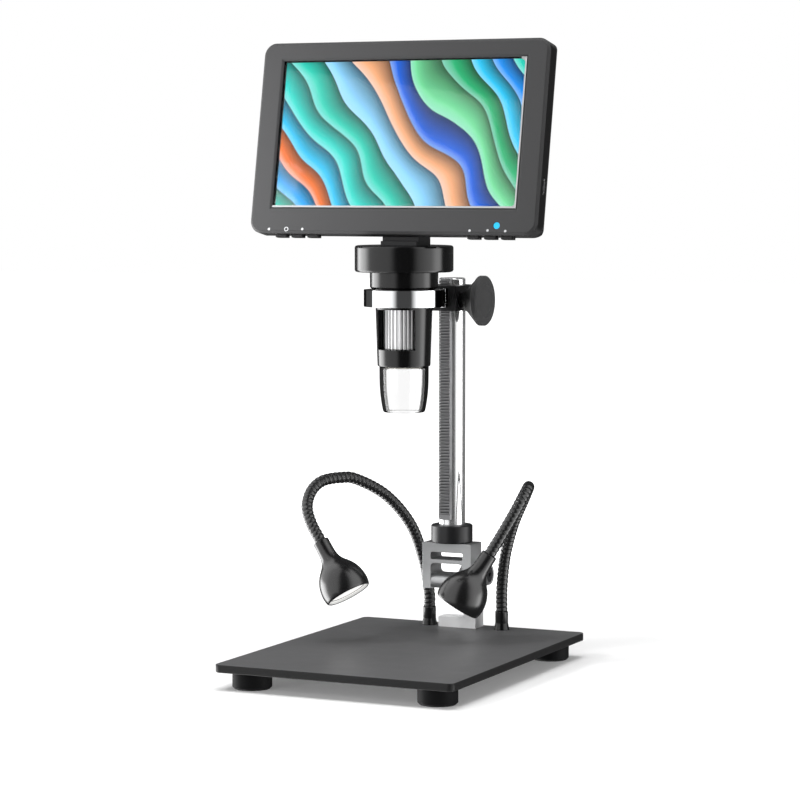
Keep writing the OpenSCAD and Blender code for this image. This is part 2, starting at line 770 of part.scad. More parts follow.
// Knuckle between the neck's ears, on a strap that is screwed to the rear cover
module monitor_hinge() {
    hw = ear_m_x - gap;
    color("black") at_monitor() difference() {
        union() {
            box([-hw, case_d, -pivot_drop - knuckle_r], [hw, case_d + strap_t, -pivot_drop + 20]);
            box([-14, case_d, -pivot_drop + 9], [14, case_d + strap_t, -pivot_drop + 20]);
            box([-hw, case_d, -pivot_drop - 4], [hw, pivot_back, -pivot_drop + 4]);
            translate([0, pivot_back, -pivot_drop]) bar_x(-hw, hw, knuckle_r);
        }
        translate([0, pivot_back, -pivot_drop]) bar_x(-hw - 1, hw + 1, pin_r + run);
        for (x = strap_screw_xs()) translate([x, case_d, strap_screw_z]) rotate([90, 0, 0])
            cylinder(h = 4 * strap_t, r = 1.2 + slack, center = true);
    }
}

// ---------------------------------------------------------------- monitor

module case_outline(shrink = 0) {
    translate([0, case_mid]) round_rect(case_w - 2 * shrink, case_h - 2 * shrink, max(case_r - shrink, 1));
}

// Solid front of the case, d deep, with a bevel round its face
module bevelled_front(d) {
    c = case_bevel;
    w = case_w - 2 * case_r;
    h = case_h - 2 * case_r;
    translate([0, 0, case_mid]) {
        rotate([90, 0, 90]) linear_extrude(w, center = true)
            polygon([[0, c - case_h / 2], [c, -case_h / 2], [d, -case_h / 2], [d, case_h / 2], [c, case_h / 2],
                [0, case_h / 2 - c]]);
        linear_extrude(h, center = true)
            polygon([[c - case_w / 2, 0], [-case_w / 2, c], [-case_w / 2, d], [case_w / 2, d], [case_w / 2, c],
                [case_w / 2 - c, 0]]);
        for (x = [-w / 2, w / 2], z = [-h / 2, h / 2]) translate([x, 0, z]) rotate([-90, 0, 0]) {
            cylinder(h = c, r1 = case_r - c, r2 = case_r);
            translate([0, 0, c]) cylinder(h = d - c, r = case_r);
        }
    }
}

// Mouth of the data socket, seen from the side: t across the case and w along its edge
module port_outline(t, w) {
    translate([port_y, -port_drop]) round_rect(t, w, t / 2 - 0.1);
}

function button_x(side, i) = side * (case_w / 2 - button_inset - (2 - i) * button_pitch);

// Frame round the screen, with side walls, screw posts and a bevelled lip round the window
module front_bezel() {
    lip = 1.2;
    color("dimgray") at_monitor() difference() {
        union() {
            difference() {
                bevelled_front(bezel_d);
                slab(face_t, bezel_d + 1) case_outline(wall_t);
            }
            for (x = [-screw_x, screw_x], z = screw_zs)
                translate([x, face_t - eps, z]) rotate([-90, 0, 0]) cylinder(h = bezel_d - face_t + eps, r = 3.2);
        }
        slab(-1, face_t + 1) square([screen_w, screen_h], center = true);
        hull() {
            slab(-eps, 0) square([screen_w + 2 * lip, screen_h + 2 * lip], center = true);
            slab(face_t * 0.7, face_t * 0.7 + eps) square([screen_w, screen_h], center = true);
        }
        for (x = [-screw_x, screw_x], z = screw_zs)
            translate([x, 3, z]) rotate([-90, 0, 0]) cylinder(h = bezel_d, r = 1.2 + run);
        translate([light_pos[0], -1, light_pos[1]]) rotate([-90, 0, 0]) cylinder(h = face_t + 2, r = light_r + run);
        for (side = [-1, 1], i = [0:2])
            translate([button_x(side, i), button_mid, case_low])
                cube([button_w + 0.4, button_d + 0.4, 4 * wall_t], center = true);
        translate([case_w / 2 - 2 * wall_t, 0, 0]) rotate([90, 0, 90]) linear_extrude(3 * wall_t)
            port_outline(port_t + 2 * gap, port_w + 2 * gap);
    }
}

// Flat strip that is h wide, with its two back edges rounded
module round_back(h) {
    square_d = case_d - cover_round;
    translate([bezel_d, -h / 2]) square([square_d - bezel_d, h]);
    translate([bezel_d, -h / 2 + cover_round]) square([case_d - bezel_d, h - 2 * cover_round]);
    for (z = [-1, 1]) intersection() {
        translate([square_d, z * (h / 2 - cover_round)]) circle(cover_round);
        translate([bezel_d, -h / 2]) square([case_d, h]);
    }
}

module cover_places() {
    for (x = [-screw_x, screw_x], z = screw_zs) translate([x, 0, z]) rotate([-90, 0, 0]) children();
}

function strap_screw_xs() = [-10, 10];
strap_screw_z = -pivot_drop + 14.5;

// Rear shell with round back edges and four screw posts
module rear_cover() {
    color("black") at_monitor() difference() {
        intersection() {
            slab(bezel_d, case_d) case_outline();
            translate([-case_w, 0, case_mid]) rotate([90, 0, 90]) linear_extrude(2 * case_w) round_back(case_h);
            translate([0, 0, -case_h]) linear_extrude(2 * case_h) rotate(90) round_back(case_w);
        }
        slab(bezel_d - 1, case_d - cover_t) difference() {
            case_outline(wall_t + 1.2);
            for (x = [-screw_x, screw_x], z = screw_zs) translate([x, z]) circle(4.4);
        }
        cover_places() {
            cylinder(h = case_d + 1, r = 1.2 + slack);
            translate([0, 0, case_d - 2.4]) cylinder(h = 3, r = 2.4 + slack);
        }
        for (x = strap_screw_xs()) translate([x, case_d, strap_screw_z]) rotate([90, 0, 0])
            cylinder(h = 2 * cover_t, r = 1.2 + run, center = true);
    }
}

module case_screws() {
    color("silver") at_monitor() {
        cover_places() translate([0, 0, case_d - 0.8]) mirror([0, 0, 1]) screw(1.2, 2.4, 1.6, 7.4);
        for (x = strap_screw_xs()) translate([x, case_d + strap_t + 1.6, strap_screw_z]) rotate([90, 0, 0])
            screw(1.2, 2.4, 1.6, strap_t + cover_t - 0.3);
    }
}

module screen_window() {
    color("lightblue", 0.4) at_monitor() slab(face_t, face_t + glass_t)
        square([screen_w + 2 * glass_margin, screen_h + 2 * glass_margin], center = true);
}

module lcd_panel() {
    color("midnightblue") at_monitor() slab(lcd_y, lcd_y + lcd_t)
        square([screen_w + 2 * glass_margin, screen_h + 2 * glass_margin], center = true);
}

// Board behind the panel, with side-acting switches over the buttons and a socket at the right edge
module main_board() {
    low = case_low + 8;
    color("green") at_monitor() {
        difference() {
            union() {
                box([-board_hw, board_y, low], [board_hw, board_y + board_t, board_top_z]);
                box([board_hw - eps, board_y, -port_drop - port_w],
                    [port_x + 5, board_y + board_t, port_w - port_drop]);
            }
            box([port_x - slack, board_y - 1, -port_drop - port_w / 2 - slack],
                [case_w / 2, board_y + board_t + 1, port_w / 2 - port_drop + slack]);
        }
        for (side = [-1, 1], i = [0:2]) translate([button_x(side, i), board_y, 0]) {
            box([-3, -2.4, switch_z + 1.2], [3, eps, low + 3]);
            box([-1.4, -1.9, switch_z], [1.4, -0.5, switch_z + 1.2 + eps]);
        }
        for (x = [-batt_w / 2 - 2.6 * chip_w, -batt_w / 2 - chip_w, batt_w / 2 + chip_w])
            box([x - chip_w / 2, board_y + board_t - eps, -2 * chip_w],
                [x + chip_w / 2, board_y + board_t + 1.6, -0.75 * chip_w]);
    }
}

module battery_pack() {
    color("gray") at_monitor() translate([0, batt_y, (board_top_z + case_low) / 2 + 9]) rotate([-90, 0, 0])
        linear_extrude(case_d - cover_t - 0.1 - batt_y) round_rect(batt_w, batt_h, 3);
}

// Round-ended shell let into the board, with a tongue in its mouth
module usb_socket() {
    color("silver") at_monitor() {
        difference() {
            translate([port_x, 0, 0]) rotate([90, 0, 90]) linear_extrude(port_l) port_outline(port_t, port_w);
            translate([port_x + 1, 0, 0]) rotate([90, 0, 90]) linear_extrude(port_l)
                port_outline(port_t - 0.7, port_w - 0.7);
        }
        box([port_x + 0.5, port_y - 0.35, -port_drop - port_w / 2 + 1.4], [port_x + port_l - 1, port_y + 0.35,
            port_w / 2 - 1.4 - port_drop]);
    }
}

module power_light() {
    color("cyan") at_monitor() translate([light_pos[0], 0.2, light_pos[1]]) rotate([-90, 0, 0]) {
        cylinder(h = 3, r = light_r);
        translate([0, 0, face_t - 0.2]) cylinder(h = 1, r = light_r + 0.8);
    }
}

// Key with a flange inside the case
module key(side, i) {
    x = button_x(side, i);
    color("black") at_monitor() translate([x, button_mid, 0]) {
        translate([0, 0, case_low - button_out]) linear_extrude(button_out + wall_t + 0.02)
            round_rect(button_w, button_d, 1.2);
        translate([-button_w / 2 - button_lip, -button_d / 2 - button_lip, case_low + wall_t + 0.02])
            cube([button_w + 2 * button_lip, button_d + 2 * button_lip, key_flange]);
    }
}

// ---------------------------------------------------------------- gooseneck lamps

module lamp_root(side) {
    color("black") translate([side * root_x, root_y, 0]) rotate_extrude() polygon([
        [stub_r + run, plate_top + 3], [stub_r + run, root_z], [root_r - 0.5, root_z], [root_r, root_z - 0.5],
        [root_r, plate_top + 4], [root_r + 0.9, plate_top], [stud_r, plate_top], [stud_r, foot_h - 4.5],
        [0, foot_h - 4.5], [0, plate_top + 3]]);
}

module lamp_root_nuts() {
    color("silver") for (x = [-root_x, root_x]) translate([x, root_y, foot_h - 3.2 - 0.02]) difference() {
        cylinder(h = 3.2, r = 5.4, $fn = 6);
        translate([0, 0, -1]) cylinder(h = 6, r = stud_r + run);
    }
}

// Point and direction of a smooth curve through the points p, at t from 0 to len(p) - 1
function curve_at(p, t) = let (n = len(p) - 1, i = min(floor(t), n - 1), u = t - i,
    a = p[i], b = p[i + 1], ta = (p[i + 1] - p[max(i - 1, 0)]) / (i == 0 ? 1 : 2),
    tb = (p[min(i + 2, n)] - p[i]) / (i == n - 1 ? 1 : 2))
    (2 * u * u * u - 3 * u * u + 1) * a + (u * u * u - 2 * u * u + u) * ta
    + (3 * u * u - 2 * u * u * u) * b + (u * u * u - u * u) * tb;
function unit(v) = v / norm(v);
function heading(p, t) = let (n = len(p) - 1, h = 0.01)
    unit(curve_at(p, min(t + h, n)) - curve_at(p, max(t - h, 0)));

// Distance along a row of points at each of them
function distances(q, i = 0, d = 0) = i == len(q) ? [] :
    concat([d], distances(q, i + 1, d + (i + 1 < len(q) ? norm(q[i + 1] - q[i]) : 0)));

// Table of distance along a curve against its parameter
function path_table(p, t0, t1, n = 90) = let (ts = [for (k = [0:n]) t0 + (t1 - t0) * k / n],
    d = distances([for (t = ts) curve_at(p, t)])) [for (k = [0:n]) [d[k], ts[k]]];

// Ribbed round tube along a part of a curve, with a ridge and a groove for every rib
module tube(p, t0, t1, r) {
    table = path_table(p, t0, t1);
    total = table[len(table) - 1][0];
    count = 2 * round(total / rib_pitch);
    m = tube_sides;
    points = [for (k = [0:count]) let (t = lookup(total * k / count, table), c = curve_at(p, t), d = heading(p, t),
        n1 = unit(cross(d, [1, 0, 0])), n2 = cross(n1, d), rk = r - (k % 2 == 0 ? rib_depth : 0))
        for (j = [0:m - 1]) let (a = j * 360 / m) c + rk * (n1 * cos(a) + n2 * sin(a))];
    sides = [for (k = [0:count - 1], j = [0:m - 1]) each [
        [k * m + j, k * m + (j + 1) % m, (k + 1) * m + j],
        [k * m + (j + 1) % m, (k + 1) * m + (j + 1) % m, (k + 1) * m + j]]];
    polyhedron(points = points, faces = concat(sides, [[for (j = [m - 1:-1:0]) j]],
        [[for (j = [0:m - 1]) count * m + j]]));
}

// Ball on a curve at t, with its poles along the curve
module ball_on(p, t, r) {
    d = heading(p, t);
    translate(curve_at(p, t)) rotate([0, acos(d[2]), atan2(d[1], d[0])]) sphere(r);
}

module gooseneck_lower(p, crown) {
    color("dimgray") {
        translate([p[0][0], p[0][1], plate_top + 3.2]) cylinder(h = root_h - 2.6, r = stub_r);
        tube(p, 0, crown, neck_tube_r);
        ball_on(p, crown, ball_r);
    }
}

module gooseneck_upper(p, crown) {
    last = len(p) - 1;
    color("dimgray") {
        difference() {
            tube(p, crown, last, neck_tube_r);
            ball_on(p, crown, ball_r + ball_gap);
        }
        ball_on(p, last, ball_r);
    }
}

// Outline of a shade's outside as radius and height, from the top of its neck to the edge of its mouth
function shade_curve(top, bell, r) = let (h = bell_h, n = shade_neck_r) [
    [n - 0.4, top], [n, top - 0.5], [n + 0.2, bell + 8], [n + 0.6, bell + 5], [n + 1.5, bell + 2.4],
    [n + 2.9, bell + 0.3], [n + 4.6, bell - 1.6], [r * 0.765, bell - h * 0.19], [r * 0.867, bell - ceiling_drop],
    [r * 0.945, bell - h * 0.47], [r * 0.988, bell - h * 0.62], [r, bell - h * 0.75], [r - 0.15, bell - h * 0.86],
    [mouth_r + 0.4, bell - h * 0.955], [mouth_r, bell - h]];

// Bell-shaped shade with a closed round socket at its top and a mouth that is drawn in
module lamp_shade(p, lean, turn) {
    top = -socket_off;
    bell = top - shade_neck;
    wall = shade_wall;
    outside = shade_curve(top, bell, shade_r);
    inside = [for (i = [len(outside) - 1:-1:8]) [min(outside[i][0], mouth_r + 0.7) - wall, outside[i][1]]];
    color("black") translate(p[len(p) - 1]) rotate([0, -lean, turn]) difference() {
        rotate_extrude() polygon(concat([[0, top]], outside, inside, [[0, bell - ceiling_drop]]));
        sphere(ball_r + ball_gap);
    }
}

module lamp_lens(p, lean, turn) {
    mouth = -socket_off - shade_neck - bell_h;
    color("lightyellow") translate(p[len(p) - 1]) rotate([0, -lean, turn]) translate([0, 0, mouth + lens_inset]) {
        cylinder(h = lens_t, r = mouth_r - shade_wall - 0.15);
        cylinder(h = bell_h - ceiling_drop - lens_inset - slack, r = 3.5);
    }
}

// ---------------------------------------------------------------- drawing

base_plate();
foot(-1, -1);  // foot_front_left
foot(1, -1);  // foot_front_right
foot(-1, 1);  // foot_back_left
foot(1, 1);  // foot_back_right
base_screws();
hinge_foot();
tilt_bolt();
tilt_washer();
tilt_nut();
lamp_root(-1);  // lamp_root_left
lamp_root(1);  // lamp_root_right
lamp_root_nuts();
tilt_block();
column_nut();
column();
rack();
carriage_housing();
carriage_liner();
pinion_bush();
ring_arm();
pinion_shaft();
focus_knob();
head_barrel();
head_collar();
head_disc();
nosepiece();
led_ring_board();
ring_leds();
sensor_board();
focus_wheel();
lens_tube();
objective_lens();
monitor_neck();
neck_screws();
hinge_pin();
monitor_hinge();
front_bezel();
rear_cover();
lcd_panel();
screen_window();
main_board();
battery_pack();
usb_socket();
power_light();
case_screws();
key(-1, 0);  // button_left_1
key(-1, 1);  // button_left_2
key(-1, 2);  // button_left_3
key(1, 0);  // button_right_1
key(1, 1);  // button_right_2
key(1, 2);  // button_right_3
gooseneck_lower(path_left, crown_left);  // gooseneck_left_lower
gooseneck_upper(path_left, crown_left);  // gooseneck_left_upper
lamp_shade(path_left, shade_lean_left, shade_turn_left);  // lamp_shade_left
lamp_lens(path_left, shade_lean_left, shade_turn_left);  // lamp_lens_left
gooseneck_lower(path_right, crown_right);  // gooseneck_right_lower
gooseneck_upper(path_right, crown_right);  // gooseneck_right_upper
lamp_shade(path_right, shade_lean_right, shade_turn_right);  // lamp_shade_right
lamp_lens(path_right, shade_lean_right, shade_turn_right);  // lamp_lens_right
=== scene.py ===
"""Visual model of a digital microscope with a screen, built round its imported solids."""
from __future__ import annotations

import logging
import math
from bisect import bisect_right
from dataclasses import dataclass
from enum import Enum
from functools import cache
from typing import Callable, Mapping, Sequence

import bpy
from mathutils import Matrix, Vector


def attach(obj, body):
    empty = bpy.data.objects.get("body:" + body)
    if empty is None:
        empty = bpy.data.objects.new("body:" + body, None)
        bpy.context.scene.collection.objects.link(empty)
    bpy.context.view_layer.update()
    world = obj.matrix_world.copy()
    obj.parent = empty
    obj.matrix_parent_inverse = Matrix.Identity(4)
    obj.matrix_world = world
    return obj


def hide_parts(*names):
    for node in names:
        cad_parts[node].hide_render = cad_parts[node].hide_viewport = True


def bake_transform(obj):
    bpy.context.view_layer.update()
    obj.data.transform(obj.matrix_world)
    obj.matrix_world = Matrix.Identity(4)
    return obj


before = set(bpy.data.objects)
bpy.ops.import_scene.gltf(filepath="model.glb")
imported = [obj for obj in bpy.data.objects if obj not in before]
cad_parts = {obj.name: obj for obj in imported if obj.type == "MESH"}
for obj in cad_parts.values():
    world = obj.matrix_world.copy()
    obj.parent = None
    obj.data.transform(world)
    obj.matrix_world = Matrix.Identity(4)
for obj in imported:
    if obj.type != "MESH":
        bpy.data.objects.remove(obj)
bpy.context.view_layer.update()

LOG = logging.getLogger("microscope")
MM = 0.001
MICRON = 0.000001
TURN = 2.0 * math.pi
GOLDEN = 0.618034  # golden ratio less one, which spreads the waves' colours
LEAST_CORNER = 0.2  # millimetres
SMALLEST = 1e-9  # least length that is divided by, in metres
WHITE = (1.0, 1.0, 1.0, 1.0)
NOISE_SPAN = (0.3, 0.7)  # where nearly all values of a noise lie
# Ranges over which painted shade fades in on faces that don't look up and on faces that look aside.
LOOKS_UP = (0.6, 0.95)  # from an upright face to one that looks up
LOOKS_ASIDE = (0.8, 0.95)  # from any other face to one that looks left or right

Tree = bpy.types.NodeTree
Node = bpy.types.Node
Socket = bpy.types.NodeSocket
Outputs = bpy.types.NodeOutputs
Material = bpy.types.Material
Solid = bpy.types.Object
RGB = tuple[float, float, float]
Point = tuple[float, float, float]
Pair = tuple[float, float]
Profile = Sequence[Pair]
Path = Sequence[tuple[float, Vector]]
Inputs = Mapping[str | int, object]


class Side(Enum):
    """Side of the stand, as seen by the user."""

    LEFT = "left"
    RIGHT = "right"


class Axis(Enum):
    """Axis along which a finish changes, as a direction."""

    X = (1.0, 0.0, 0.0)
    Z = (0.0, 0.0, 1.0)


class Grain(Enum):
    """Direction in which a finish is drawn out, as stretch factors along X, Y and Z."""

    EVEN = (1.0, 1.0, 1.0)
    VERTICAL = (1.0, 1.0, 0.03)
    LEVEL = (0.04, 0.04, 1.0)


# ---------------------------------------------------------------- shader nodes


@dataclass(frozen=True)
class Nodes:
    """The nodes of one shader tree."""

    tree: Tree

    def feed(self, node: Node, inputs: Inputs) -> None:
        """Link or set inputs of a node.

        Args:
            node: The node.
            inputs: For each input, the socket that feeds it or its value.
        """
        for label, value in inputs.items():
            if isinstance(value, Socket):
                self.tree.links.new(value, node.inputs[label])
            else:
                node.inputs[label].default_value = value

    def add(self, kind: str, inputs: Inputs | None = None, **settings: object) -> Outputs:
        """Add a node.

        Args:
            kind: Type of the node, without its prefix.
            inputs: For each input, the socket that feeds it or its value.
            settings: Properties of the node.

        Returns:
            The node's outputs.
        """
        node = self.tree.nodes.new(f"ShaderNode{kind}")
        for setting, value in settings.items():
            setattr(node, setting, value)
        self.feed(node, inputs or {})
        return node.outputs

    def calc(self, operation: str, *values: object) -> Socket:
        """Work out a number from values or sockets."""
        return self.add("Math", dict(enumerate(values)), operation=operation)[0]

    def vector(self, operation: str, *values: object) -> Outputs:
        """Work out a vector or a measure of it from values or sockets."""
        return self.add("VectorMath", dict(enumerate(values)), operation=operation)

    def scaled(self, colour: Socket, share: Socket) -> Socket:
        """Scale a colour by a share."""
        return self.add("VectorMath", {0: colour, "Scale": share}, operation="SCALE")[0]

    def fade(self, value: Socket, given: Sequence[object], wanted: Sequence[object]) -> Socket:
        """Stretch one range of a value onto another, held at the ends.

        Args:
            value: Socket with the value.
            given: Low and high end of the range that the value comes from.
            wanted: Low and high end of the range that it goes to.

        Returns:
            The stretched value.
        """
        return self.add("MapRange", {"Value": value, "From Min": given[0], "From Max": given[1],
                                     "To Min": wanted[0], "To Max": wanted[1]})["Result"]

    def ramp(self, value: Socket, stops: Sequence[tuple[float, RGB]], interpolation: str = "LINEAR") -> Socket:
        """Look a colour up on a ramp.

        Args:
            value: Socket with the place on the ramp.
            stops: Position and colour of each stop.
            interpolation: How the ramp goes from stop to stop.

        Returns:
            The colour.
        """
        node = self.tree.nodes.new("ShaderNodeValToRGB")
        self.feed(node, {"Fac": value})
        ramp = node.color_ramp
        ramp.interpolation = interpolation
        while len(ramp.elements) < len(stops):
            ramp.elements.new(0.5)
        for stop, (position, colour) in zip(ramp.elements, stops):
            stop.position = position
            stop.color = (*colour, 1.0)
        return node.outputs["Color"]

    def show(self, shader: Socket) -> None:
        """Make a shader the material's surface."""
        self.feed(self.tree.nodes["Material Output"], {"Surface": shader})


def start_material(name: str) -> tuple[Material, Nodes, Node]:
    """Start a material.

    Args:
        name: Its name.

    Returns:
        The material, its nodes and its Principled shader.
    """
    material = bpy.data.materials.new(name)
    material.use_nodes = True
    return material, Nodes(material.node_tree), material.node_tree.nodes["Principled BSDF"]


# ---------------------------------------------------------------- shader groups


def start_group(name: str, inputs: Sequence[tuple[str, str, object]],
                outputs: Sequence[tuple[str, str]]) -> tuple[Nodes, Outputs, Node]:
    """Start a shader node group with its sockets.

    Args:
        name: Name of the group.
        inputs: Name, kind and default value of each input.
        outputs: Name and kind of each output.

    Returns:
        The group's nodes, the sockets that bring its inputs, and its output node.
    """
    tree = bpy.data.node_groups.new(name, "ShaderNodeTree")
    for label, kind, value in inputs:
        tree.interface.new_socket(label, in_out="INPUT", socket_type=f"NodeSocket{kind}").default_value = value
    for label, kind in outputs:
        tree.interface.new_socket(label, in_out="OUTPUT", socket_type=f"NodeSocket{kind}")
    return Nodes(tree), tree.nodes.new("NodeGroupInput").outputs, tree.nodes.new("NodeGroupOutput")


@cache
def grain_group() -> Tree:
    """Make the group of fine surface relief, once.

    Returns:
        The group's tree.
    """
    nodes, given, out = start_group(
        "surface_grain", [("Scale", "Float", 900.0), ("Stretch", "Vector", (1.0, 1.0, 1.0))], [("Height", "Float")])
    drawn = nodes.vector("MULTIPLY", nodes.add("TexCoord")["Object"], given["Stretch"])[0]
    noise = nodes.add("TexNoise", {"Vector": drawn, "Scale": given["Scale"], "Detail": 3.0})
    nodes.feed(out, {"Height": noise["Fac"]})
    return nodes.tree


@cache
def drift_group() -> Tree:
    """Make the group that lets colour and roughness wander, once.

    Returns:
        The group's tree.
    """
    nodes, given, out = start_group(
        "slow_drift",
        [("Colour", "Color", (0.5, 0.5, 0.5, 1.0)), ("Amount", "Float", 0.1), ("Scale", "Float", 30.0),
         ("Rough Low", "Float", 0.3), ("Rough High", "Float", 0.4)],
        [("Colour", "Color"), ("Roughness", "Float")])
    noise = nodes.add("TexNoise", {"Vector": nodes.add("TexCoord")["Object"], "Scale": given["Scale"],
                                   "Detail": 5.0, "Roughness": 0.6})["Fac"]
    swing = nodes.calc("MULTIPLY_ADD", nodes.calc("SUBTRACT", noise, 0.5), given["Amount"], 1.0)
    nodes.feed(out, {"Colour": nodes.scaled(given["Colour"], swing),
                     "Roughness": nodes.fade(noise, NOISE_SPAN, (given["Rough Low"], given["Rough High"]))})
    return nodes.tree


@cache
def painted_light_along_group() -> Tree:
    """Make the group of painted light or shade that changes along a piece, once.

    Returns:
        The group's tree.
    """
    nodes, given, out = start_group(
        "painted_light_along_piece",
        [("Axis", "Vector", (1.0, 0.0, 0.0)), ("Start", "Float", 0.0), ("End", "Float", 1.0),
         ("Low Share", "Float", 0.0)],
        [("Share", "Float")])
    distance = nodes.vector("DOT_PRODUCT", nodes.add("TexCoord")["Generated"], given["Axis"])["Value"]
    nodes.feed(out, {"Share": nodes.fade(distance, (given["Start"], given["End"]), (given["Low Share"], 1.0))})
    return nodes.tree


def drifting(nodes: Nodes, colour: RGB, amount: float, scale: float, rough: Pair) -> Outputs:
    """Place the drift group in a material.

    Args:
        nodes: The material's nodes.
        colour: The colour that wanders.
        amount: How far it wanders, as a share.
        scale: How fast it wanders.
        rough: Lowest and highest roughness.

    Returns:
        The group's outputs.
    """
    return nodes.add("Group", {"Colour": (*colour, 1.0), "Amount": amount, "Scale": scale, "Rough Low": rough[0],
                               "Rough High": rough[1]}, node_tree=drift_group())


# ---------------------------------------------------------------- finishes


def facing_share(nodes: Nodes, start: float, end: float, share: float) -> Socket:
    """Share of a value that is left as the surface turns away from the eye, used for painted shade on outlines.

    Args:
        nodes: The material's nodes.
        start: Where the change starts, from 0 facing to 1 edge on.
        end: Where it ends.
        share: The share left past the end.

    Returns:
        The share.
    """
    return nodes.fade(nodes.add("LayerWeight")["Facing"], (start, end), (1.0, share))


def normal_part(nodes: Nodes, axis: Axis) -> Socket:
    """How far a face looks along an axis of its piece, from -1 to 1."""
    return nodes.add("SeparateXYZ", {0: nodes.add("TexCoord")["Normal"]})[axis.name]


@dataclass(frozen=True)
class Finish:
    """Opaque finish with fine relief, slow drift of tone, softened edges and optional painted light and shade.

    The grain's depth is in thousandths of a millimetre and the edge's radius in millimetres.
    painted_edge_shade gives where a painted shade starts and ends, from 0 facing to 1 edge on, and the share left
    past it. upright and sides are the shares that painted shade leaves on faces that don't look up and on faces
    that look left or right. along gives an axis for painted light or shade, where it starts and ends as shares of
    the piece, and the share before it.
    """

    name: str
    colour: RGB
    rough: Pair
    metallic: float = 0.0
    specular: float = 0.5
    tint: RGB = (1.0, 1.0, 1.0)
    drift: float = 0.15
    drift_scale: float = 30.0
    grain_scale: float = 900.0
    grain_depth: float = 10.0
    grain: Grain = Grain.EVEN
    edge: float = 0.3
    painted_edge_shade: tuple[float, float, float] | None = None
    painted_shade_off_top: float = 1.0
    painted_shade_on_sides: float = 1.0
    along: tuple[Axis, float, float, float] | None = None

    def build(self) -> Material:
        """Make the material.

        Returns:
            The finished material.
        """
        material, nodes, bsdf = start_material(self.name)
        drift = drifting(nodes, self.colour, self.drift, self.drift_scale, self.rough)
        nodes.feed(bsdf, {"Base Color": self._tone(nodes, drift["Colour"]), "Roughness": drift["Roughness"],
                          "Metallic": self.metallic, "Specular IOR Level": self.specular,
                          "Specular Tint": (*self.tint, 1.0), "Normal": self._relief(nodes)})
        return material

    def _tone(self, nodes: Nodes, colour: Socket) -> Socket:
        """Scale the colour by each share of painted light or shade that the finish has.

        Args:
            nodes: The material's nodes.
            colour: The colour.

        Returns:
            The scaled colour.
        """
        # Painted shade that deepens as the face turns edge on.
        if self.painted_edge_shade:
            colour = nodes.scaled(colour, facing_share(nodes, *self.painted_edge_shade))
        # Painted shade on faces that don't look up.
        if self.painted_shade_off_top != 1.0:
            up = normal_part(nodes, Axis.Z)
            colour = nodes.scaled(colour, nodes.fade(up, LOOKS_UP, (self.painted_shade_off_top, 1.0)))
        # Painted shade on faces that look left or right.
        if self.painted_shade_on_sides != 1.0:
            aside = nodes.calc("ABSOLUTE", normal_part(nodes, Axis.X))
            colour = nodes.scaled(colour, nodes.fade(aside, LOOKS_ASIDE, (1.0, self.painted_shade_on_sides)))
        # Painted light or shade that changes along an axis of the piece.
        if self.along:
            axis, start, end, share = self.along
            change = nodes.add("Group", {"Axis": axis.value, "Start": start, "End": end, "Low Share": share},
                               node_tree=painted_light_along_group())
            colour = nodes.scaled(colour, change["Share"])
        return colour

    def _relief(self, nodes: Nodes) -> Socket:
        """Work out the normal with softened edges and grain.

        Args:
            nodes: The material's nodes.

        Returns:
            The normal.
        """
        soft = nodes.add("Bevel", {"Radius": self.edge * MM}, samples=4)
        relief = nodes.add("Group", {"Scale": self.grain_scale, "Stretch": self.grain.value}, node_tree=grain_group())
        return nodes.add("Bump", {"Distance": self.grain_depth * MICRON, "Height": relief["Height"],
                                  "Normal": soft["Normal"]})["Normal"]


@dataclass(frozen=True)
class ClearFinish:
    """Clear moulded or polished stuff that light passes through, with an optional painted shade on its outline."""

    name: str
    colour: RGB
    ior: float = 1.45
    rough: Pair = (0.02, 0.05)
    # Where the painted shade on the outline starts and ends, from 0 facing to 1 edge on, and its colour.
    rim: Pair | None = None
    painted_rim_shade_colour: tuple[float, ...] = (0.02, 0.02, 0.02, 1.0)
    drift: float = 0.04
    drift_scale: float = 60.0

    def build(self) -> Material:
        """Make the material.

        Returns:
            The finished material.
        """
        material, nodes, bsdf = start_material(self.name)
        drift = drifting(nodes, self.colour, self.drift, self.drift_scale, self.rough)
        nodes.feed(bsdf, {"Base Color": drift["Colour"], "Roughness": drift["Roughness"],
                          "Transmission Weight": 1.0, "IOR": self.ior})
        # Painted shade on the outline, standing for dark refraction at the edges.
        if self.rim:
            self._paint_rim_shade(nodes, bsdf)
        return material

    def _paint_rim_shade(self, nodes: Nodes, bsdf: Node) -> None:
        """Paint shade on the outline of the moulding, where a dark diffuse shader takes over as it turns edge on.

        Args:
            nodes: The material's nodes.
            bsdf: The material's Principled shader.
        """
        clear = nodes.calc("MAXIMUM", facing_share(nodes, *self.rim, 0.0), nodes.add("NewGeometry")["Backfacing"])
        dark = nodes.add("BsdfDiffuse", {"Color": self.painted_rim_shade_colour})
        nodes.show(nodes.add("MixShader", {"Fac": clear, 1: dark[0], 2: bsdf.outputs[0]})[0])


@dataclass(frozen=True)
class GlowFinish:
    """Part that gives light of its own, or a painted glow, through a faintly mottled surface."""

    name: str
    colour: RGB
    strength: float
    rough: Pair = (0.3, 0.4)
    mottle: float = 0.1
    mottle_scale: float = 400.0

    def build(self) -> Material:
        """Make the material.

        Returns:
            The finished material.
        """
        material, nodes, bsdf = start_material(self.name)
        drift = drifting(nodes, self.colour, self.mottle, self.mottle_scale, self.rough)
        nodes.feed(bsdf, {"Base Color": drift["Colour"], "Roughness": drift["Roughness"],
                          "Emission Color": drift["Colour"], "Emission Strength": self.strength})
        return material


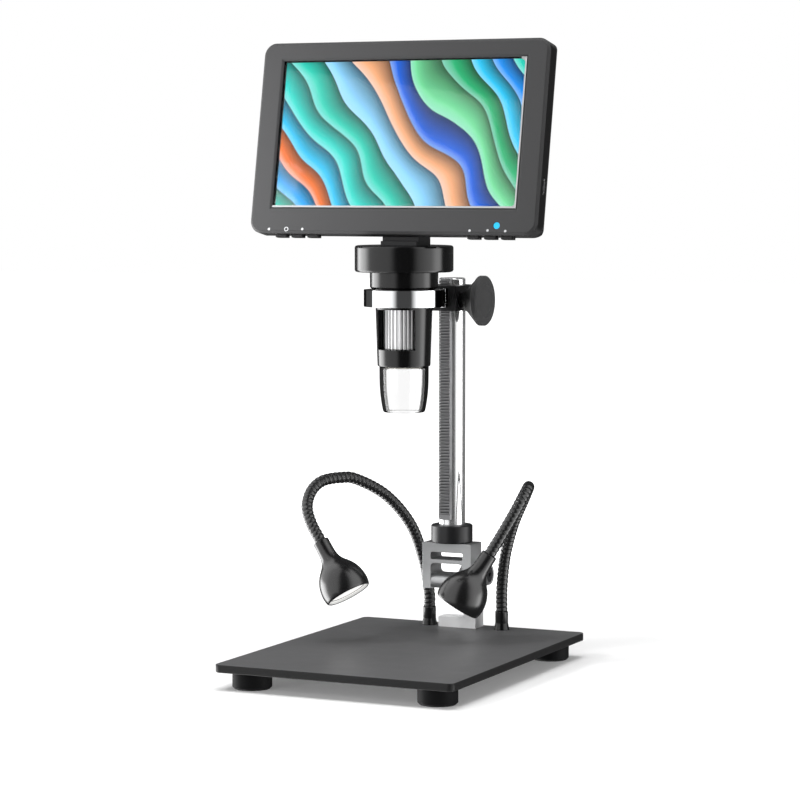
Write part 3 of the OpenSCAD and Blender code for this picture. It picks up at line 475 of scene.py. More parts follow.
@dataclass(frozen=True)
class WavesFinish:
    """Lit panel with a generic picture of layered waves inside a dark border."""

    name: str = "panel_waves"
    layers: float = 74.0
    lean: Pair = (0.8, 0.6)
    wander: float = 0.05
    wander_scale: float = 14.0
    strength: float = 1.0
    shade: Pair = (1.1, 0.14)
    shade_from: float = 0.25
    crest: Pair = (0.34, 0.0)
    crest_to: float = 0.3
    crest_colour: RGB = (0.62, 0.88, 1.0)
    area: tuple[tuple[str, float, float], ...] = (("X", 0.0205, 0.987), ("Z", 0.022, 0.97))
    stops: tuple[tuple[float, RGB], ...] = (
        (0.00, (0.26, 0.68, 1.00)), (0.10, (0.01, 0.58, 0.92)), (0.22, (0.0, 0.12, 0.74)),
        (0.32, (0.01, 0.66, 0.50)), (0.44, (0.01, 0.46, 0.17)), (0.52, (1.00, 0.20, 0.02)),
        (0.60, (1.00, 0.46, 0.22)), (0.66, (0.0, 0.28, 0.88)), (0.76, (0.01, 0.72, 0.62)),
        (0.86, (0.16, 0.72, 0.32)), (0.94, (0.0, 0.42, 0.95)))

    def build(self) -> Material:
        """Make the material.

        Returns:
            The finished material.
        """
        material, nodes, bsdf = start_material(self.name)
        place = nodes.add("TexCoord")
        phase = self._phase(nodes, place["Object"])
        within = nodes.calc("FRACT", phase)
        pick = nodes.calc("FRACT", nodes.calc("MULTIPLY", nodes.calc("FLOOR", phase), GOLDEN))
        pale = nodes.add("Mix", {"Factor": nodes.fade(within, (0.0, self.crest_to), self.crest),
                                 "A": nodes.ramp(pick, self.stops, "CONSTANT"), "B": (*self.crest_colour, 1.0)},
                         data_type="RGBA")
        lit = nodes.scaled(pale["Result"], nodes.fade(within, (self.shade_from, 1.0), self.shade))
        nodes.feed(bsdf, {"Base Color": (0.01, 0.01, 0.01, 1.0), "Roughness": 0.5, "Specular IOR Level": 0.0,
                          "Emission Color": lit, "Emission Strength": self._inside(nodes, place["Generated"])})
        return material

    def _phase(self, nodes: Nodes, place: Socket) -> Socket:
        """Count the waves across the panel, with a wander.

        Args:
            nodes: The material's nodes.
            place: Position on the panel.

        Returns:
            The number of waves passed.
        """
        noise = nodes.add("TexNoise", {"Vector": place, "Scale": self.wander_scale, "Detail": 1.0})
        centred = nodes.vector("SUBTRACT", noise["Color"], (0.5, 0.5, 0.5))[0]
        shifted = nodes.vector("MULTIPLY_ADD", centred, (self.wander, 0.0, self.wander), place)[0]
        across = nodes.vector("DOT_PRODUCT", shifted, (self.lean[0], 0.0, self.lean[1]))["Value"]
        return nodes.calc("MULTIPLY", across, self.layers)

    def _inside(self, nodes: Nodes, place: Socket) -> Socket:
        """Strength of the light, nil on the panel's dark border.

        Args:
            nodes: The material's nodes.
            place: Position on the panel as shares of its size.

        Returns:
            The strength.
        """
        apart = nodes.add("SeparateXYZ", {0: place})
        strength = self.strength
        for axis, low, high in self.area:
            for operation, limit in (("GREATER_THAN", low), ("LESS_THAN", high)):
                strength = nodes.calc("MULTIPLY", nodes.calc(operation, apart[axis], limit), strength)
        return strength


AnyFinish = Finish | ClearFinish | GlowFinish | WavesFinish
Finishes = Sequence[tuple[AnyFinish, Sequence[str]]]

# Painted shade: the plate's edge faces, which don't look up, are darkened to a small share of the top's colour.
PLATE_PAINT = Finish("plate_paint", (0.1, 0.1, 0.102), (0.36, 0.44), specular=0.2, drift=0.06,
                     grain_scale=2500, grain_depth=12, edge=0.5, painted_shade_off_top=0.14)
RUBBER = Finish("foot_rubber", (0.006, 0.006, 0.0065), (0.55, 0.7), specular=0.1, drift=0.3,
                grain_scale=1500, grain_depth=30)
COLUMN_CHROME = Finish("column_chrome", (0.9, 0.905, 0.91), (0.06, 0.1), metallic=0.78, drift=0.03,
                       grain_depth=1, edge=0.4)
# Painted reflection: the ring arm's chrome darkens near its outline, standing for dark surroundings reflected there.
RING_CHROME = Finish("ring_chrome", (0.86, 0.87, 0.88), (0.07, 0.12), metallic=1.0, tint=(0.5, 0.5, 0.5),
                     drift=0.03, grain_depth=1, edge=0.4, painted_edge_shade=(0.31, 0.39, 0.012))
RACK_STEEL = Finish("rack_steel", (0.22, 0.22, 0.225), (0.3, 0.4), metallic=1.0, drift=0.2,
                    grain_scale=700, grain=Grain.LEVEL, edge=0.08)
BRIGHT_STEEL = Finish("bright_steel", (0.6, 0.6, 0.61), (0.22, 0.32), metallic=1.0, drift=0.12, grain_depth=8)
DARK_STEEL = Finish("dark_steel", (0.16, 0.16, 0.17), (0.3, 0.4), metallic=1.0)
# Painted light: the tilt block is lighter towards its bottom, standing for the lamps' light falling there.
BLASTED_ALLOY = Finish("blasted_alloy", (0.42, 0.425, 0.43), (0.38, 0.5), metallic=0.9, drift=0.3,
                       drift_scale=120, grain_scale=1800, grain_depth=20, edge=0.4,
                       along=(Axis.Z, 0.1, 0.95, 1.5))
# Painted light: the hinge foot is near white, a lit copy of the tilt block's alloy standing for the lamps' light on
# it.
FOOT_ALLOY_PAINTED_LAMPLIGHT = Finish("foot_alloy_painted_lamplight", (0.95, 0.95, 0.955), (0.4, 0.5), metallic=0.1, drift=0.1,
                    drift_scale=120, grain_scale=1800, grain_depth=20, edge=0.4)
WHEEL_ALLOY = Finish("wheel_alloy", (0.78, 0.78, 0.79), (0.26, 0.34), metallic=1.0, drift=0.08,
                     grain_scale=500, grain_depth=0.3, grain=Grain.VERTICAL, edge=0.04)
BLACK_GLOSS = Finish("black_gloss_anodise", (0.003, 0.003, 0.0032), (0.14, 0.2), drift=0.2,
                     grain_scale=1500, grain_depth=4, edge=0.5)
BLACK_SATIN = Finish("black_satin", (0.012, 0.012, 0.013), (0.32, 0.42), specular=0.4, drift=0.2,
                     grain_scale=1800, edge=0.4)
# Painted shade: the knob is darkened towards its hub, the inner part of its length along X, standing for a dark
# reflection.
KNOB_PLASTIC = Finish("knob_plastic", (0.075, 0.075, 0.076), (0.42, 0.5), specular=0.1,
                      grain_scale=1800, grain_depth=12, edge=0.5, along=(Axis.X, 0.68, 0.76, 0.08))
# Painted shade: the case's left and right sides are darkened to a small share of the front's colour.
BEZEL_PLASTIC = Finish("bezel_plastic", (0.049, 0.049, 0.05), (0.4, 0.5), specular=0.15, drift=0.08,
                       grain_scale=3500, grain_depth=12, edge=0.9, painted_shade_on_sides=0.12)
COVER_PLASTIC = Finish("cover_plastic", (0.012, 0.012, 0.0125), (0.42, 0.52), specular=0.4,
                       grain_scale=2600, grain_depth=20, edge=0.6)
KEY_PLASTIC = Finish("key_plastic", (0.01, 0.01, 0.0105), (0.3, 0.4), specular=0.4, grain_depth=8, edge=0.5)
SHADE_ENAMEL = Finish("shade_enamel", (0.005, 0.005, 0.0053), (0.22, 0.27), specular=0.85,
                      grain_scale=300, grain_depth=4)
NECK_SLEEVE = Finish("neck_sleeve", (0.01, 0.01, 0.0105), (0.2, 0.28), specular=0.8, drift=0.25,
                     grain_scale=1500, grain_depth=12, edge=0.1)
LINER_PLASTIC = Finish("liner_plastic", (0.62, 0.6, 0.54), (0.4, 0.5))
BOARD_RESIN = Finish("board_resin", (0.02, 0.16, 0.06), (0.35, 0.5), drift=0.3, drift_scale=150)
CELL_FOIL = Finish("cell_foil", (0.3, 0.31, 0.33), (0.35, 0.45), metallic=0.6, drift=0.2)
# Painted highlight: a light grey strip on the window's lit bottom and right arris, where light catches the edge.
ARRIS_PAINTED_HIGHLIGHT = Finish("window_arris_painted_highlight", (0.3, 0.305, 0.31), (0.16, 0.22), specular=0.8, drift=0.1, drift_scale=300)
MARK_PRINT = Finish("mark_print", (0.5, 0.51, 0.52), (0.5, 0.6), drift=0.2, drift_scale=2000, edge=0.02)
# Painted shade: the nosepiece's outline turns dark, standing for dark refraction at its edges.
CLEAR_MOULD = ClearFinish("clear_mould", (0.99, 0.99, 0.99), 1.42, rim=(0.42, 0.48))
WINDOW_GLASS = ClearFinish("window_glass", (0.99, 0.99, 1.0), 1.2, (0.01, 0.03))
LENS_GLASS = ClearFinish("lens_glass", (0.95, 0.97, 1.0), 1.52, (0.0, 0.02))
LAMP_GLOW = GlowFinish("lamp_glow", (1.0, 0.99, 0.97), 0.86)
# Painted light: a glow for the shade's lining, which is no lamp, standing for the lamp's light on the shade's inner
# wall.
LINING_PAINTED_GLOW = GlowFinish("shade_lining", (0.6, 0.6, 0.59), 0.5)
RING_GLOW = GlowFinish("ring_glow", (0.95, 0.97, 1.0), 0.5)
POWER_GLOW = GlowFinish("power_glow", (0.005, 0.3, 0.55), 0.8)
PANEL_WAVES = WavesFinish()


@cache
def material_of(finish: AnyFinish) -> Material:
    """Make the finish's material, once."""
    return finish.build()


def dress(finish: AnyFinish, name: str) -> None:
    """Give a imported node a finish.

    Args:
        finish: The finish.
        name: Name of the node.
    """
    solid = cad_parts[name]
    if not solid.material_slots:
        solid.data.materials.append(None)
    for place in solid.material_slots:
        place.material = material_of(finish)
    LOG.info("dressed %s in %s", name, finish.name)


# ---------------------------------------------------------------- mesh making


def mesh_piece(name: str, points: Sequence[Sequence[float]], faces: Sequence[Sequence[int]], finish: AnyFinish,
               smooth: bool = True) -> Solid:
    """Make a mesh object with a finish.

    Args:
        name: Name of the piece.
        points: Vertices in metres.
        faces: Vertex numbers of each face.
        finish: Its finish.
        smooth: Whether its faces are shaded smooth.

    Returns:
        The new object.
    """
    mesh = bpy.data.meshes.new(name)
    mesh.from_pydata([tuple(p) for p in points], [], [tuple(f) for f in faces])
    mesh.validate()
    mesh.polygons.foreach_set("use_smooth", [smooth] * len(mesh.polygons))
    mesh.materials.append(material_of(finish))
    piece = bpy.data.objects.new(name, mesh)
    bpy.context.scene.collection.objects.link(piece)
    LOG.info("built %s, %d faces", name, len(mesh.polygons))
    return piece


def ring_faces(rings: int, around: int, closed: bool = False) -> list[tuple[int, ...]]:
    """Faces that join successive rings of points.

    Args:
        rings: Number of rings.
        around: Points in each ring.
        closed: Whether the last ring joins the first.

    Returns:
        The quads.
    """
    faces = []
    for k in range(rings if closed else rings - 1):
        low, high = k * around, ((k + 1) % rings) * around
        for j in range(around):
            nxt = (j + 1) % around
            faces.append((low + j, low + nxt, high + nxt, high + j))
    return faces


def spline(points: Sequence[Vector], t: float) -> Vector:
    """Point of the smooth curve through some points.

    Args:
        points: Points that the curve passes through.
        t: Place on the curve, from 0 to the number of points less one.

    Returns:
        The point.
    """
    last = len(points) - 1
    i = min(int(math.floor(t)), last - 1)
    u = t - i
    a, b = points[i], points[i + 1]
    ta = (b - points[max(i - 1, 0)]) / (1 if i == 0 else 2)
    tb = (points[min(i + 2, last)] - a) / (1 if i == last - 1 else 2)
    return ((2 * u**3 - 3 * u**2 + 1) * a + (u**3 - 2 * u**2 + u) * ta
            + (3 * u**2 - 2 * u**3) * b + (u**3 - u**2) * tb)


def raised(level: float, *points: Pair) -> list[Pair]:
    """Points of a profile, given by their radius and their height above a level."""
    return [(radius, level + height) for radius, height in points]


def smooth_profile(profile: Profile, steps: int = 4) -> list[Pair]:
    """Refine a profile into a smooth one through the same points.

    Args:
        profile: Radius and height of each point.
        steps: New points for each stretch.

    Returns:
        The refined profile.
    """
    ends = [Vector((r, z, 0.0)) for r, z in profile]
    found = [spline(ends, k / steps) for k in range((len(ends) - 1) * steps + 1)]
    return [(p.x, p.y) for p in found]


def lathe(name: str, profile: Profile, place: Matrix, finish: AnyFinish, around: int = 96) -> Solid:
    """Turn a closed profile about the local Z axis.

    Args:
        name: Name of the piece.
        profile: Radius and height in millimetres, as a closed loop that runs either way.
        place: Where the local frame stands, in metres.
        finish: Its finish.
        around: Points round the axis.

    Returns:
        The turned piece.
    """
    points = []
    area = sum(a[0] * b[1] - b[0] * a[1] for a, b in zip(profile, [*profile[1:], profile[0]]))
    for r, z in profile if area > 0 else reversed(profile):
        for j in range(around):
            a = TURN * j / around
            points.append(place @ Vector((r * math.cos(a) * MM, r * math.sin(a) * MM, z * MM)))
    return mesh_piece(name, points, ring_faces(len(profile), around, closed=True), finish)


def rounded_outline(width: float, height: float, radius: float, steps: int = 10) -> list[Pair]:
    """Outline of a rectangle with round corners, centred.

    Args:
        width: Its width.
        height: Its height.
        radius: Its corner radius.
        steps: Points on each corner, less one.

    Returns:
        The points, counterclockwise.
    """
    points = []
    for quarter, (sx, sy) in enumerate([(1, 1), (-1, 1), (-1, -1), (1, -1)]):
        cx, cy = sx * (width / 2 - radius), sy * (height / 2 - radius)
        for k in range(steps + 1):
            a = math.pi / 2 * (quarter + k / steps)
            points.append((cx + radius * math.cos(a), cy + radius * math.sin(a)))
    return points


def slab(name: str, size: Pair, corner: float, layers: Profile,
         place: Callable[[float, float, float], Vector], finish: AnyFinish) -> Solid:
    """Build a plate whose edge follows a profile.

    Args:
        name: Name of the piece.
        size: Width and height in millimetres.
        corner: Corner radius in millimetres.
        layers: Inset and depth of each edge line in millimetres, from one face to the other.
        place: Turns the plate's x, y and depth into a point in metres.
        finish: Its finish.

    Returns:
        The plate.
    """
    points: list[Vector] = []
    around = 0
    for inset, depth in layers:
        outline = rounded_outline(size[0] - 2 * inset, size[1] - 2 * inset, max(corner - inset, LEAST_CORNER))
        around = len(outline)
        points += [place(x, y, depth) for x, y in outline]
    faces = ring_faces(len(layers), around)
    faces.append(tuple(reversed(range(around))))
    faces.append(tuple(range(len(points) - around, len(points))))
    piece = mesh_piece(name, points, faces, finish)
    for face in piece.data.polygons:
        face.use_smooth = len(face.vertices) <= 4
    return piece


# ---------------------------------------------------------------- base and stand


class Assembly:
    """Sub-assembly of the model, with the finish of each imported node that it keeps."""

    finishes: Finishes = ()

    def build(self) -> None:
        """Build the pieces that it models anew, where it has any."""

    def dress(self) -> None:
        """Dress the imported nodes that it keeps."""
        for finish, names in self.finishes:
            for name in names:
                dress(finish, name)


@dataclass
class Base(Assembly):
    """Plate on its four feet, with the hinge foot and the tilt bolt.

    Sizes are in millimetres. half_way is the inset of the bevel's middle, as a share of the bevel.
    """

    width: float = 149.0
    depth: float = 197.0
    bottom: float = 10.3
    top: float = 15.0
    corner: float = 4.0
    bevel: float = 0.5
    half_way: float = 0.3
    finishes: Finishes = (
        (RUBBER, ("foot_front_left", "foot_front_right", "foot_back_left", "foot_back_right")),
        (BRIGHT_STEEL, ("base_screws", "tilt_nut", "lamp_root_nuts")),
        (FOOT_ALLOY_PAINTED_LAMPLIGHT, ("hinge_foot",)),
        (DARK_STEEL, ("tilt_bolt",)),
        (LINER_PLASTIC, ("tilt_washer",)),
        (BLACK_GLOSS, ("lamp_root_left", "lamp_root_right")))

    def build(self) -> None:
        """Build the plate with soft edges."""
        middle = self.bevel * self.half_way
        steps = [(self.bevel, 0.0), (middle, middle), (0.0, self.bevel)]
        layers = [(inset, self.bottom + rise) for inset, rise in steps]
        layers += [(inset, self.top - rise) for inset, rise in reversed(steps)]
        plate = slab("plate_body", (self.width, self.depth), self.corner, layers,
                     lambda x, y, d: Vector((x, y, d)) * MM, PLATE_PAINT)
        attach(plate, "stand")
        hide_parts("base_plate")


@dataclass
class Column(Assembly):
    """Tilting block, collar nut, column and rack."""

    finishes: Finishes = (
        (BLASTED_ALLOY, ("tilt_block",)),
        (BLACK_SATIN, ("column_nut",)),
        (COLUMN_CHROME, ("column",)),
        (RACK_STEEL, ("rack",)))


@dataclass
class Carriage(Assembly):
    """Carriage with its knob and the arm that holds the head."""

    finishes: Finishes = (
        (BLACK_SATIN, ("carriage_housing",)),
        (LINER_PLASTIC, ("carriage_liner",)),
        (DARK_STEEL, ("pinion_bush",)),
        (RING_CHROME, ("ring_arm",)),
        (BRIGHT_STEEL, ("pinion_shaft",)),
        (KNOB_PLASTIC, ("focus_knob",)))


@dataclass
class Head(Assembly):
    """Microscope head with its clear nosepiece. Sizes are in millimetres."""

    axis_y: float = -2.0
    nose_top: float = 180.8
    nose_low: float = 154.2
    wall: float = 1.9
    finishes: Finishes = (
        (BLACK_GLOSS, ("head_barrel", "head_collar", "head_disc")),
        (WHEEL_ALLOY, ("focus_wheel",)),
        (BLACK_SATIN, ("lens_tube", "monitor_neck")),
        (LENS_GLASS, ("objective_lens",)),
        (BOARD_RESIN, ("sensor_board",)),
        (LINER_PLASTIC, ("led_ring_board",)),
        (RING_GLOW, ("ring_leds",)),
        (DARK_STEEL, ("neck_screws", "hinge_pin")))

    def build(self) -> None:
        """Build the clear nosepiece."""
        outer = [(14.4, self.nose_top)] + raised(self.nose_low, (14.35, 20), (14.2, 15), (13.8, 10), (13.2, 5.5),
                                                 (12.6, 2.2), (12.2, 0.7), (11.7, 0.1))
        inner = [(r - self.wall, z) for r, z in reversed(outer[:-1])]
        rim = raised(self.nose_low, (outer[-1][0] - 0.5, 0.0), (inner[0][0] + 0.4, 0.2))
        nose = lathe("clear_nose", smooth_profile(outer) + rim + smooth_profile(inner),
                     Matrix.Translation((0.0, self.axis_y * MM, 0.0)), CLEAR_MOULD)
        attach(nose, "carriage")
        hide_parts("nosepiece")


# ---------------------------------------------------------------- screen


@dataclass
class Screen(Assembly):
    """Case with the lit panel, its buttons, power light and printed marks.

    Sizes are in millimetres, and places on the face are measured from its middle, to the right and up. The hinge pin
    lies back behind the face and drop below its middle. A mark's size is its outer and inner radius. strip is the
    width of the painted highlight on the window's arris, strip_round the radius of its inner edge at the corners, and
    strip_depths the depths of its outer edge, its inner edge and its back.
    """

    pivot: Point = (0.0, 0.0, 262.0)
    tilt: float = 10.7
    back: float = 21.4
    drop: float = 51.0
    dots: Profile = ((-78.0, -56.7), (-56.1, -56.5), (50.3, -56.6), (61.4, -56.4), (72.3, -56.7))
    ring: Pair = (-66.6, -56.6)
    dot_size: Pair = (0.75, 0.02)
    ring_size: Pair = (1.35, 0.9)
    print_edge: float = 0.02
    window: Pair = (154.96, 87.16)
    strip: float = 1.25
    strip_round: float = 2.2
    strip_depths: tuple[float, float, float] = (0.3, 1.0, 1.57)
    finishes: Finishes = (
        (BEZEL_PLASTIC, ("front_bezel",)),
        (COVER_PLASTIC, ("rear_cover",)),
        (PANEL_WAVES, ("lcd_panel",)),
        (WINDOW_GLASS, ("screen_window",)),
        (BOARD_RESIN, ("main_board",)),
        (CELL_FOIL, ("battery_pack",)),
        (BRIGHT_STEEL, ("usb_socket", "case_screws")),
        (POWER_GLOW, ("power_light",)),
        (BLACK_SATIN, ("monitor_hinge",)),
        (KEY_PLASTIC, ("button_left_1", "button_left_2", "button_left_3", "button_right_1", "button_right_2",
                       "button_right_3")))

    def at(self, x: float, depth: float, up: float) -> Vector:
        """Point of the case in metres.

        Args:
            x: Distance to the right of the screen's middle.
            depth: Distance behind the case's face.
            up: Distance up the screen from its middle.

        Returns:
            The point.
        """
        lean = math.radians(self.tilt)
        across = depth - self.back
        rise = up + self.drop
        y = self.pivot[1] + across * math.cos(lean) + rise * math.sin(lean)
        z = self.pivot[2] - across * math.sin(lean) + rise * math.cos(lean)
        return Vector((x, y, z)) * MM

    def build(self) -> None:
        """Build the printed marks on the face and a painted highlight on the window's arris."""
        for number, place in enumerate(self.dots):
            self._mark(f"mark_{number}", place, self.dot_size)
        self._mark("mark_ring", self.ring, self.ring_size)
        self._painted_highlight_strip()

    def _painted_highlight_strip(self) -> None:
        """Build the painted highlight on the window's arris, along its bottom and right edges."""
        half_w, half_h = self.window[0] / 2, self.window[1] / 2
        front, middle, back = self.strip_depths
        stations = [((-half_w, -half_h), (-half_w, self.strip - half_h))]
        stations += self._corner_stations(half_w, half_h, -90.0)
        stations += self._corner_stations(half_w, half_h, 0.0)
        points = []
        for outer, inner in stations:
            points += [self.at(outer[0], front, outer[1]), self.at(outer[0], back, outer[1]),
                       self.at(inner[0], back, inner[1]), self.at(inner[0], middle, inner[1])]
        last = len(points) - 4
        faces = ring_faces(len(stations), 4) + [(3, 2, 1, 0), (last, last + 1, last + 2, last + 3)]
        # Painted highlight strip on the window's lit edges.
        strip = mesh_piece("window_edge_painted_highlight", points, faces, ARRIS_PAINTED_HIGHLIGHT, False)
        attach(strip, "monitor")

    def _corner_stations(self, half_w: float, half_h: float, start: float, steps: int = 8) -> list[tuple[Pair, Pair]]:
        """Outer and inner points of the painted highlight strip round one of the window's right corners.

        Args:
            half_w: Half the window's width.
            half_h: Half its height.
            start: Direction of the corner's first point, in degrees.
            steps: Steps round the corner, an even number.

        Returns:
            Pairs of an outer and an inner point.
        """
        side = -1.0 if start < 0.0 else 1.0
        reach = self.strip + self.strip_round
        middle = (half_w - reach, side * (half_h - reach))
        stations = []
        for k in range(steps + 1):
            turn = math.radians(start + 90.0 * k / steps)
            along = reach * min(1.0, 2.0 * (k if side < 0.0 else steps - k) / steps)
            away = reach * min(1.0, 2.0 * (steps - k if side < 0.0 else k) / steps)
            stations.append(((middle[0] + along, middle[1] + side * away),
                             (middle[0] + self.strip_round * math.cos(turn),
                              middle[1] + self.strip_round * math.sin(turn))))
        return stations

    def _mark(self, name: str, place: Pair, size: Pair, around: int = 24) -> None:
        """Print a dot or a ring.

        Args:
            name: Name of the piece.
            place: Its place on the face.
            size: Its outer and inner radius.
            around: Points round it.
        """
        (x, up), (outer, inner), edge = place, size, self.print_edge
        profile = [(inner, edge), (inner, -2 * edge), (outer - edge, -2 * edge), (outer, 0.0), (outer, edge)]
        points = [self.at(x + r * math.cos(TURN * j / around), d, up + r * math.sin(TURN * j / around))
                  for r, d in profile for j in range(around)]
        mark = mesh_piece(name, points, ring_faces(len(profile), around, closed=True), MARK_PRINT, False)
        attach(mark, "monitor")


# ---------------------------------------------------------------- lamps


@dataclass
class Lamp(Assembly):
    """Lamp on a ribbed neck, whose stretches at its crown and at its shade are built as pieces of their own.

    Sizes are in millimetres and angles in degrees; distances along the neck are in metres. The stretches of neck
    within reach of the route's point number crown and within reach of the shade are built as pieces of their own, and
    the neck goes on for overlap inside the shade. Its heading is taken over the distance look, and fine is the number
    of measured steps from point to point.
    """

    side: Side
    route: Sequence[Point]
    crown: int
    lean: float
    turn: float
    tube: float = 3.5
    groove: float = 0.55
    pitch: float = 2.87
    per_rib: int = 8
    around: int = 24
    reach: float = 14.0
    overlap: float = 1.5
    look: float = 0.4
    fine: int = 60

    def name(self, part: str) -> str:
        """Name of a part of this lamp."""
        return f"{part}_{self.side.value}"

    def build(self) -> None:
        """Build neck, shade and lens."""
        ends = [Vector(p) * MM for p in self.route]
        path, marks = self._walk(ends)
        crown, tip, reach = marks[self.crown], marks[-1], self.reach * MM
        neck, node = self.name("neck"), self.name("gooseneck")
        lower, upper, lamp = f"{neck}_lower", f"{neck}_upper", self.name("lamp")
        self._stiff("neck_root", path, (0.0, crown - reach), lower, f"{node}_lower")
        self._bending("neck_crown", path, (crown - reach, crown + reach), (lower, upper), crown + reach)
        self._stiff("neck_fall", path, (crown + reach, tip - reach), upper, f"{node}_upper")
        self._bending("neck_tip", path, (tip - reach, tip + self.overlap * MM), (upper, lamp), tip)
        self._shade(ends[-1], lamp)

    def _stiff(self, part: str, path: Path, ends: Pair, body: str, node: str) -> None:
        """Build a stretch of neck that stays stiff.

        Args:
            part: Name of the part.
            path: Measured points of the route.
            ends: Distances at which the stretch starts and ends.
            body: Body that carries it.
            node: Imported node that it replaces.
        """
        piece = self._tube(self.name(part), path, *ends)
        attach(piece, body)
        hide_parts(node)

    def _bending(self, part: str, path: Path, ends: Pair, bodies: tuple[str, str], last: float) -> None:
        """Build a stretch of neck round a bend, as a piece that is not attached to any body.

        Args:
            part: Name of the part.
            path: Measured points of the route.
            ends: Distances at which the stretch starts and ends.
            bodies: Not used.
            last: Distance at which a point of the route is worked out.
        """
        piece = self._tube(self.name(part), path, *ends)
        tuple(self._point(path, ends[0]))
        tuple(self._point(path, last))
        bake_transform(piece)

    def _walk(self, ends: Sequence[Vector]) -> tuple[list[tuple[float, Vector]], list[float]]:
        """Measure the route.

        Args:
            ends: Points of the route in metres.

        Returns:
            Fine points with their distance along the route, and the distance of each given point.
        """
        path, marks, gone = [(0.0, ends[0])], [0.0], 0.0
        for k in range(1, (len(ends) - 1) * self.fine + 1):
            here = spline(ends, k / self.fine)
            gone += (here - path[-1][1]).length
            path.append((gone, here))
            if k % self.fine == 0:
                marks.append(gone)
        return path, marks

    def _point(self, path: Path, distance: float) -> Vector:
        """Point at a distance along the route, straight on past its end.

        Args:
            path: Measured points of the route.
            distance: The distance.

        Returns:
            The point.
        """
        if distance >= path[-1][0]:
            ahead = (path[-1][1] - path[-4][1]).normalized()
            return path[-1][1] + ahead * (distance - path[-1][0])
        low = max(bisect_right(path, distance, key=lambda step: step[0]) - 1, 0)
        (da, a), (db, b) = path[low], path[low + 1]
        return a.lerp(b, (distance - da) / max(db - da, SMALLEST))

    def _tube(self, name: str, path: Path, start: float, end: float) -> Solid:
        """Sweep a stretch of the wound sleeve.

        Args:
            name: Name of the piece.
            path: Measured points of the route.
            start: Distance at which the stretch starts.
            end: Distance at which it ends.

        Returns:
            The stretch of sleeve.
        """
        pitch, look = self.pitch * MM, self.look * MM
        count = max(2, round((end - start) / pitch * self.per_rib))
        points = []
        for k in range(count + 1):
            distance = start + (end - start) * k / count
            centre = self._point(path, distance)
            ahead = (self._point(path, distance + look) - self._point(path, max(distance - look, 0.0))).normalized()
            side = ahead.cross(Vector((1.0, 0.0, 0.0))).normalized()
            other = side.cross(ahead)
            for j in range(self.around):
                a = TURN * j / self.around
                wind = (distance / pitch + j / self.around) % 1.0
                dip = self.groove * (1.0 - math.sqrt(max(0.0, math.sin(math.pi * wind))))
                points.append(centre + (self.tube - dip) * MM * (side * math.cos(a) + other * math.sin(a)))
        faces = [tuple(reversed(f)) for f in ring_faces(count + 1, self.around)]
        faces.append(tuple(range(self.around)))
        faces.append(tuple(reversed(range(count * self.around, (count + 1) * self.around))))
        return mesh_piece(name, points, faces, NECK_SLEEVE)

    def _shade(self, joint: Vector, body: str) -> None:
        """Build the bell-shaped shade, its lining, which glows as painted light, and its lit lens.

        Args:
            joint: Middle of the shade's joint.
            body: Body that carries the shade.
        """
        place = (Matrix.Translation(joint) @ Matrix.Rotation(math.radians(self.turn), 4, "Z")
                 @ Matrix.Rotation(math.radians(-self.lean), 4, "Y"))
        mouth, top, bell = -37.8, -1.3, -17.3
        cup = raised(mouth, (13.35, 0.03), (13.6, 0.2), (14.0, 0.95), (14.45, 2.9), (14.6, 5.1), (14.42, 7.8),
                     (13.8, 10.9), (12.66, 13.9), (11.17, 16.6)) + raised(bell, (9.4, -1.6))
        sleeve = (raised(bell, (9.4, -1.6), (7.7, 0.3), (6.3, 2.4), (5.4, 5.0), (5.0, 8.0), (4.85, 12.0))
                  + raised(top, (4.8, -0.5), (4.65, -0.15), (4.4, -0.02), (3.95, 0.0)))
        inside = (raised(top, (3.75, -0.3), (3.7, -7.0))
                  + raised(bell, (3.5, -1.5), (6.5, -5.3), (9.5, -6.4), (11.3, -7.7), (12.4, -10.1), (13.0, -13.2),
                           (13.1, -15.7))
                  + raised(mouth, (12.95, 2.6), (12.65, 0.8), (12.6, 0.25), (12.85, 0.02)))
        lining = raised(mouth, (12.15, 2.1), (12.3, 0.9), (12.55, 0.35), (12.9, 0.0), (13.25, 0.0), (13.1, 0.3),
                        (12.8, 0.7), (12.7, 2.1))
        dome = raised(mouth + 1.4, (0.02, 0.0), (5.0, 0.1), (8.5, 0.3), (11.3, 0.8), (12.05, 1.2), (11.9, 1.6),
                      (8.5, 1.4), (5.0, 1.3), (0.02, 1.3))
        profile = smooth_profile(cup) + smooth_profile(sleeve)[1:] + smooth_profile(inside)
        shade = lathe(self.name("shade"), profile, place, SHADE_ENAMEL)
        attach(shade, body)
        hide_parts(self.name("lamp_shade"))
        # Painted light: the lining ring inside the mouth glows, standing for the lamp's light on the shade's inner
        # wall.
        ring = lathe(self.name("shade_lining"), lining, place, LINING_PAINTED_GLOW)
        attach(ring, body)
        lens = lathe(self.name("lamp_glass"), dome, place, LAMP_GLOW)
        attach(lens, body)
        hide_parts(self.name("lamp_lens"))


# ---------------------------------------------------------------- studio


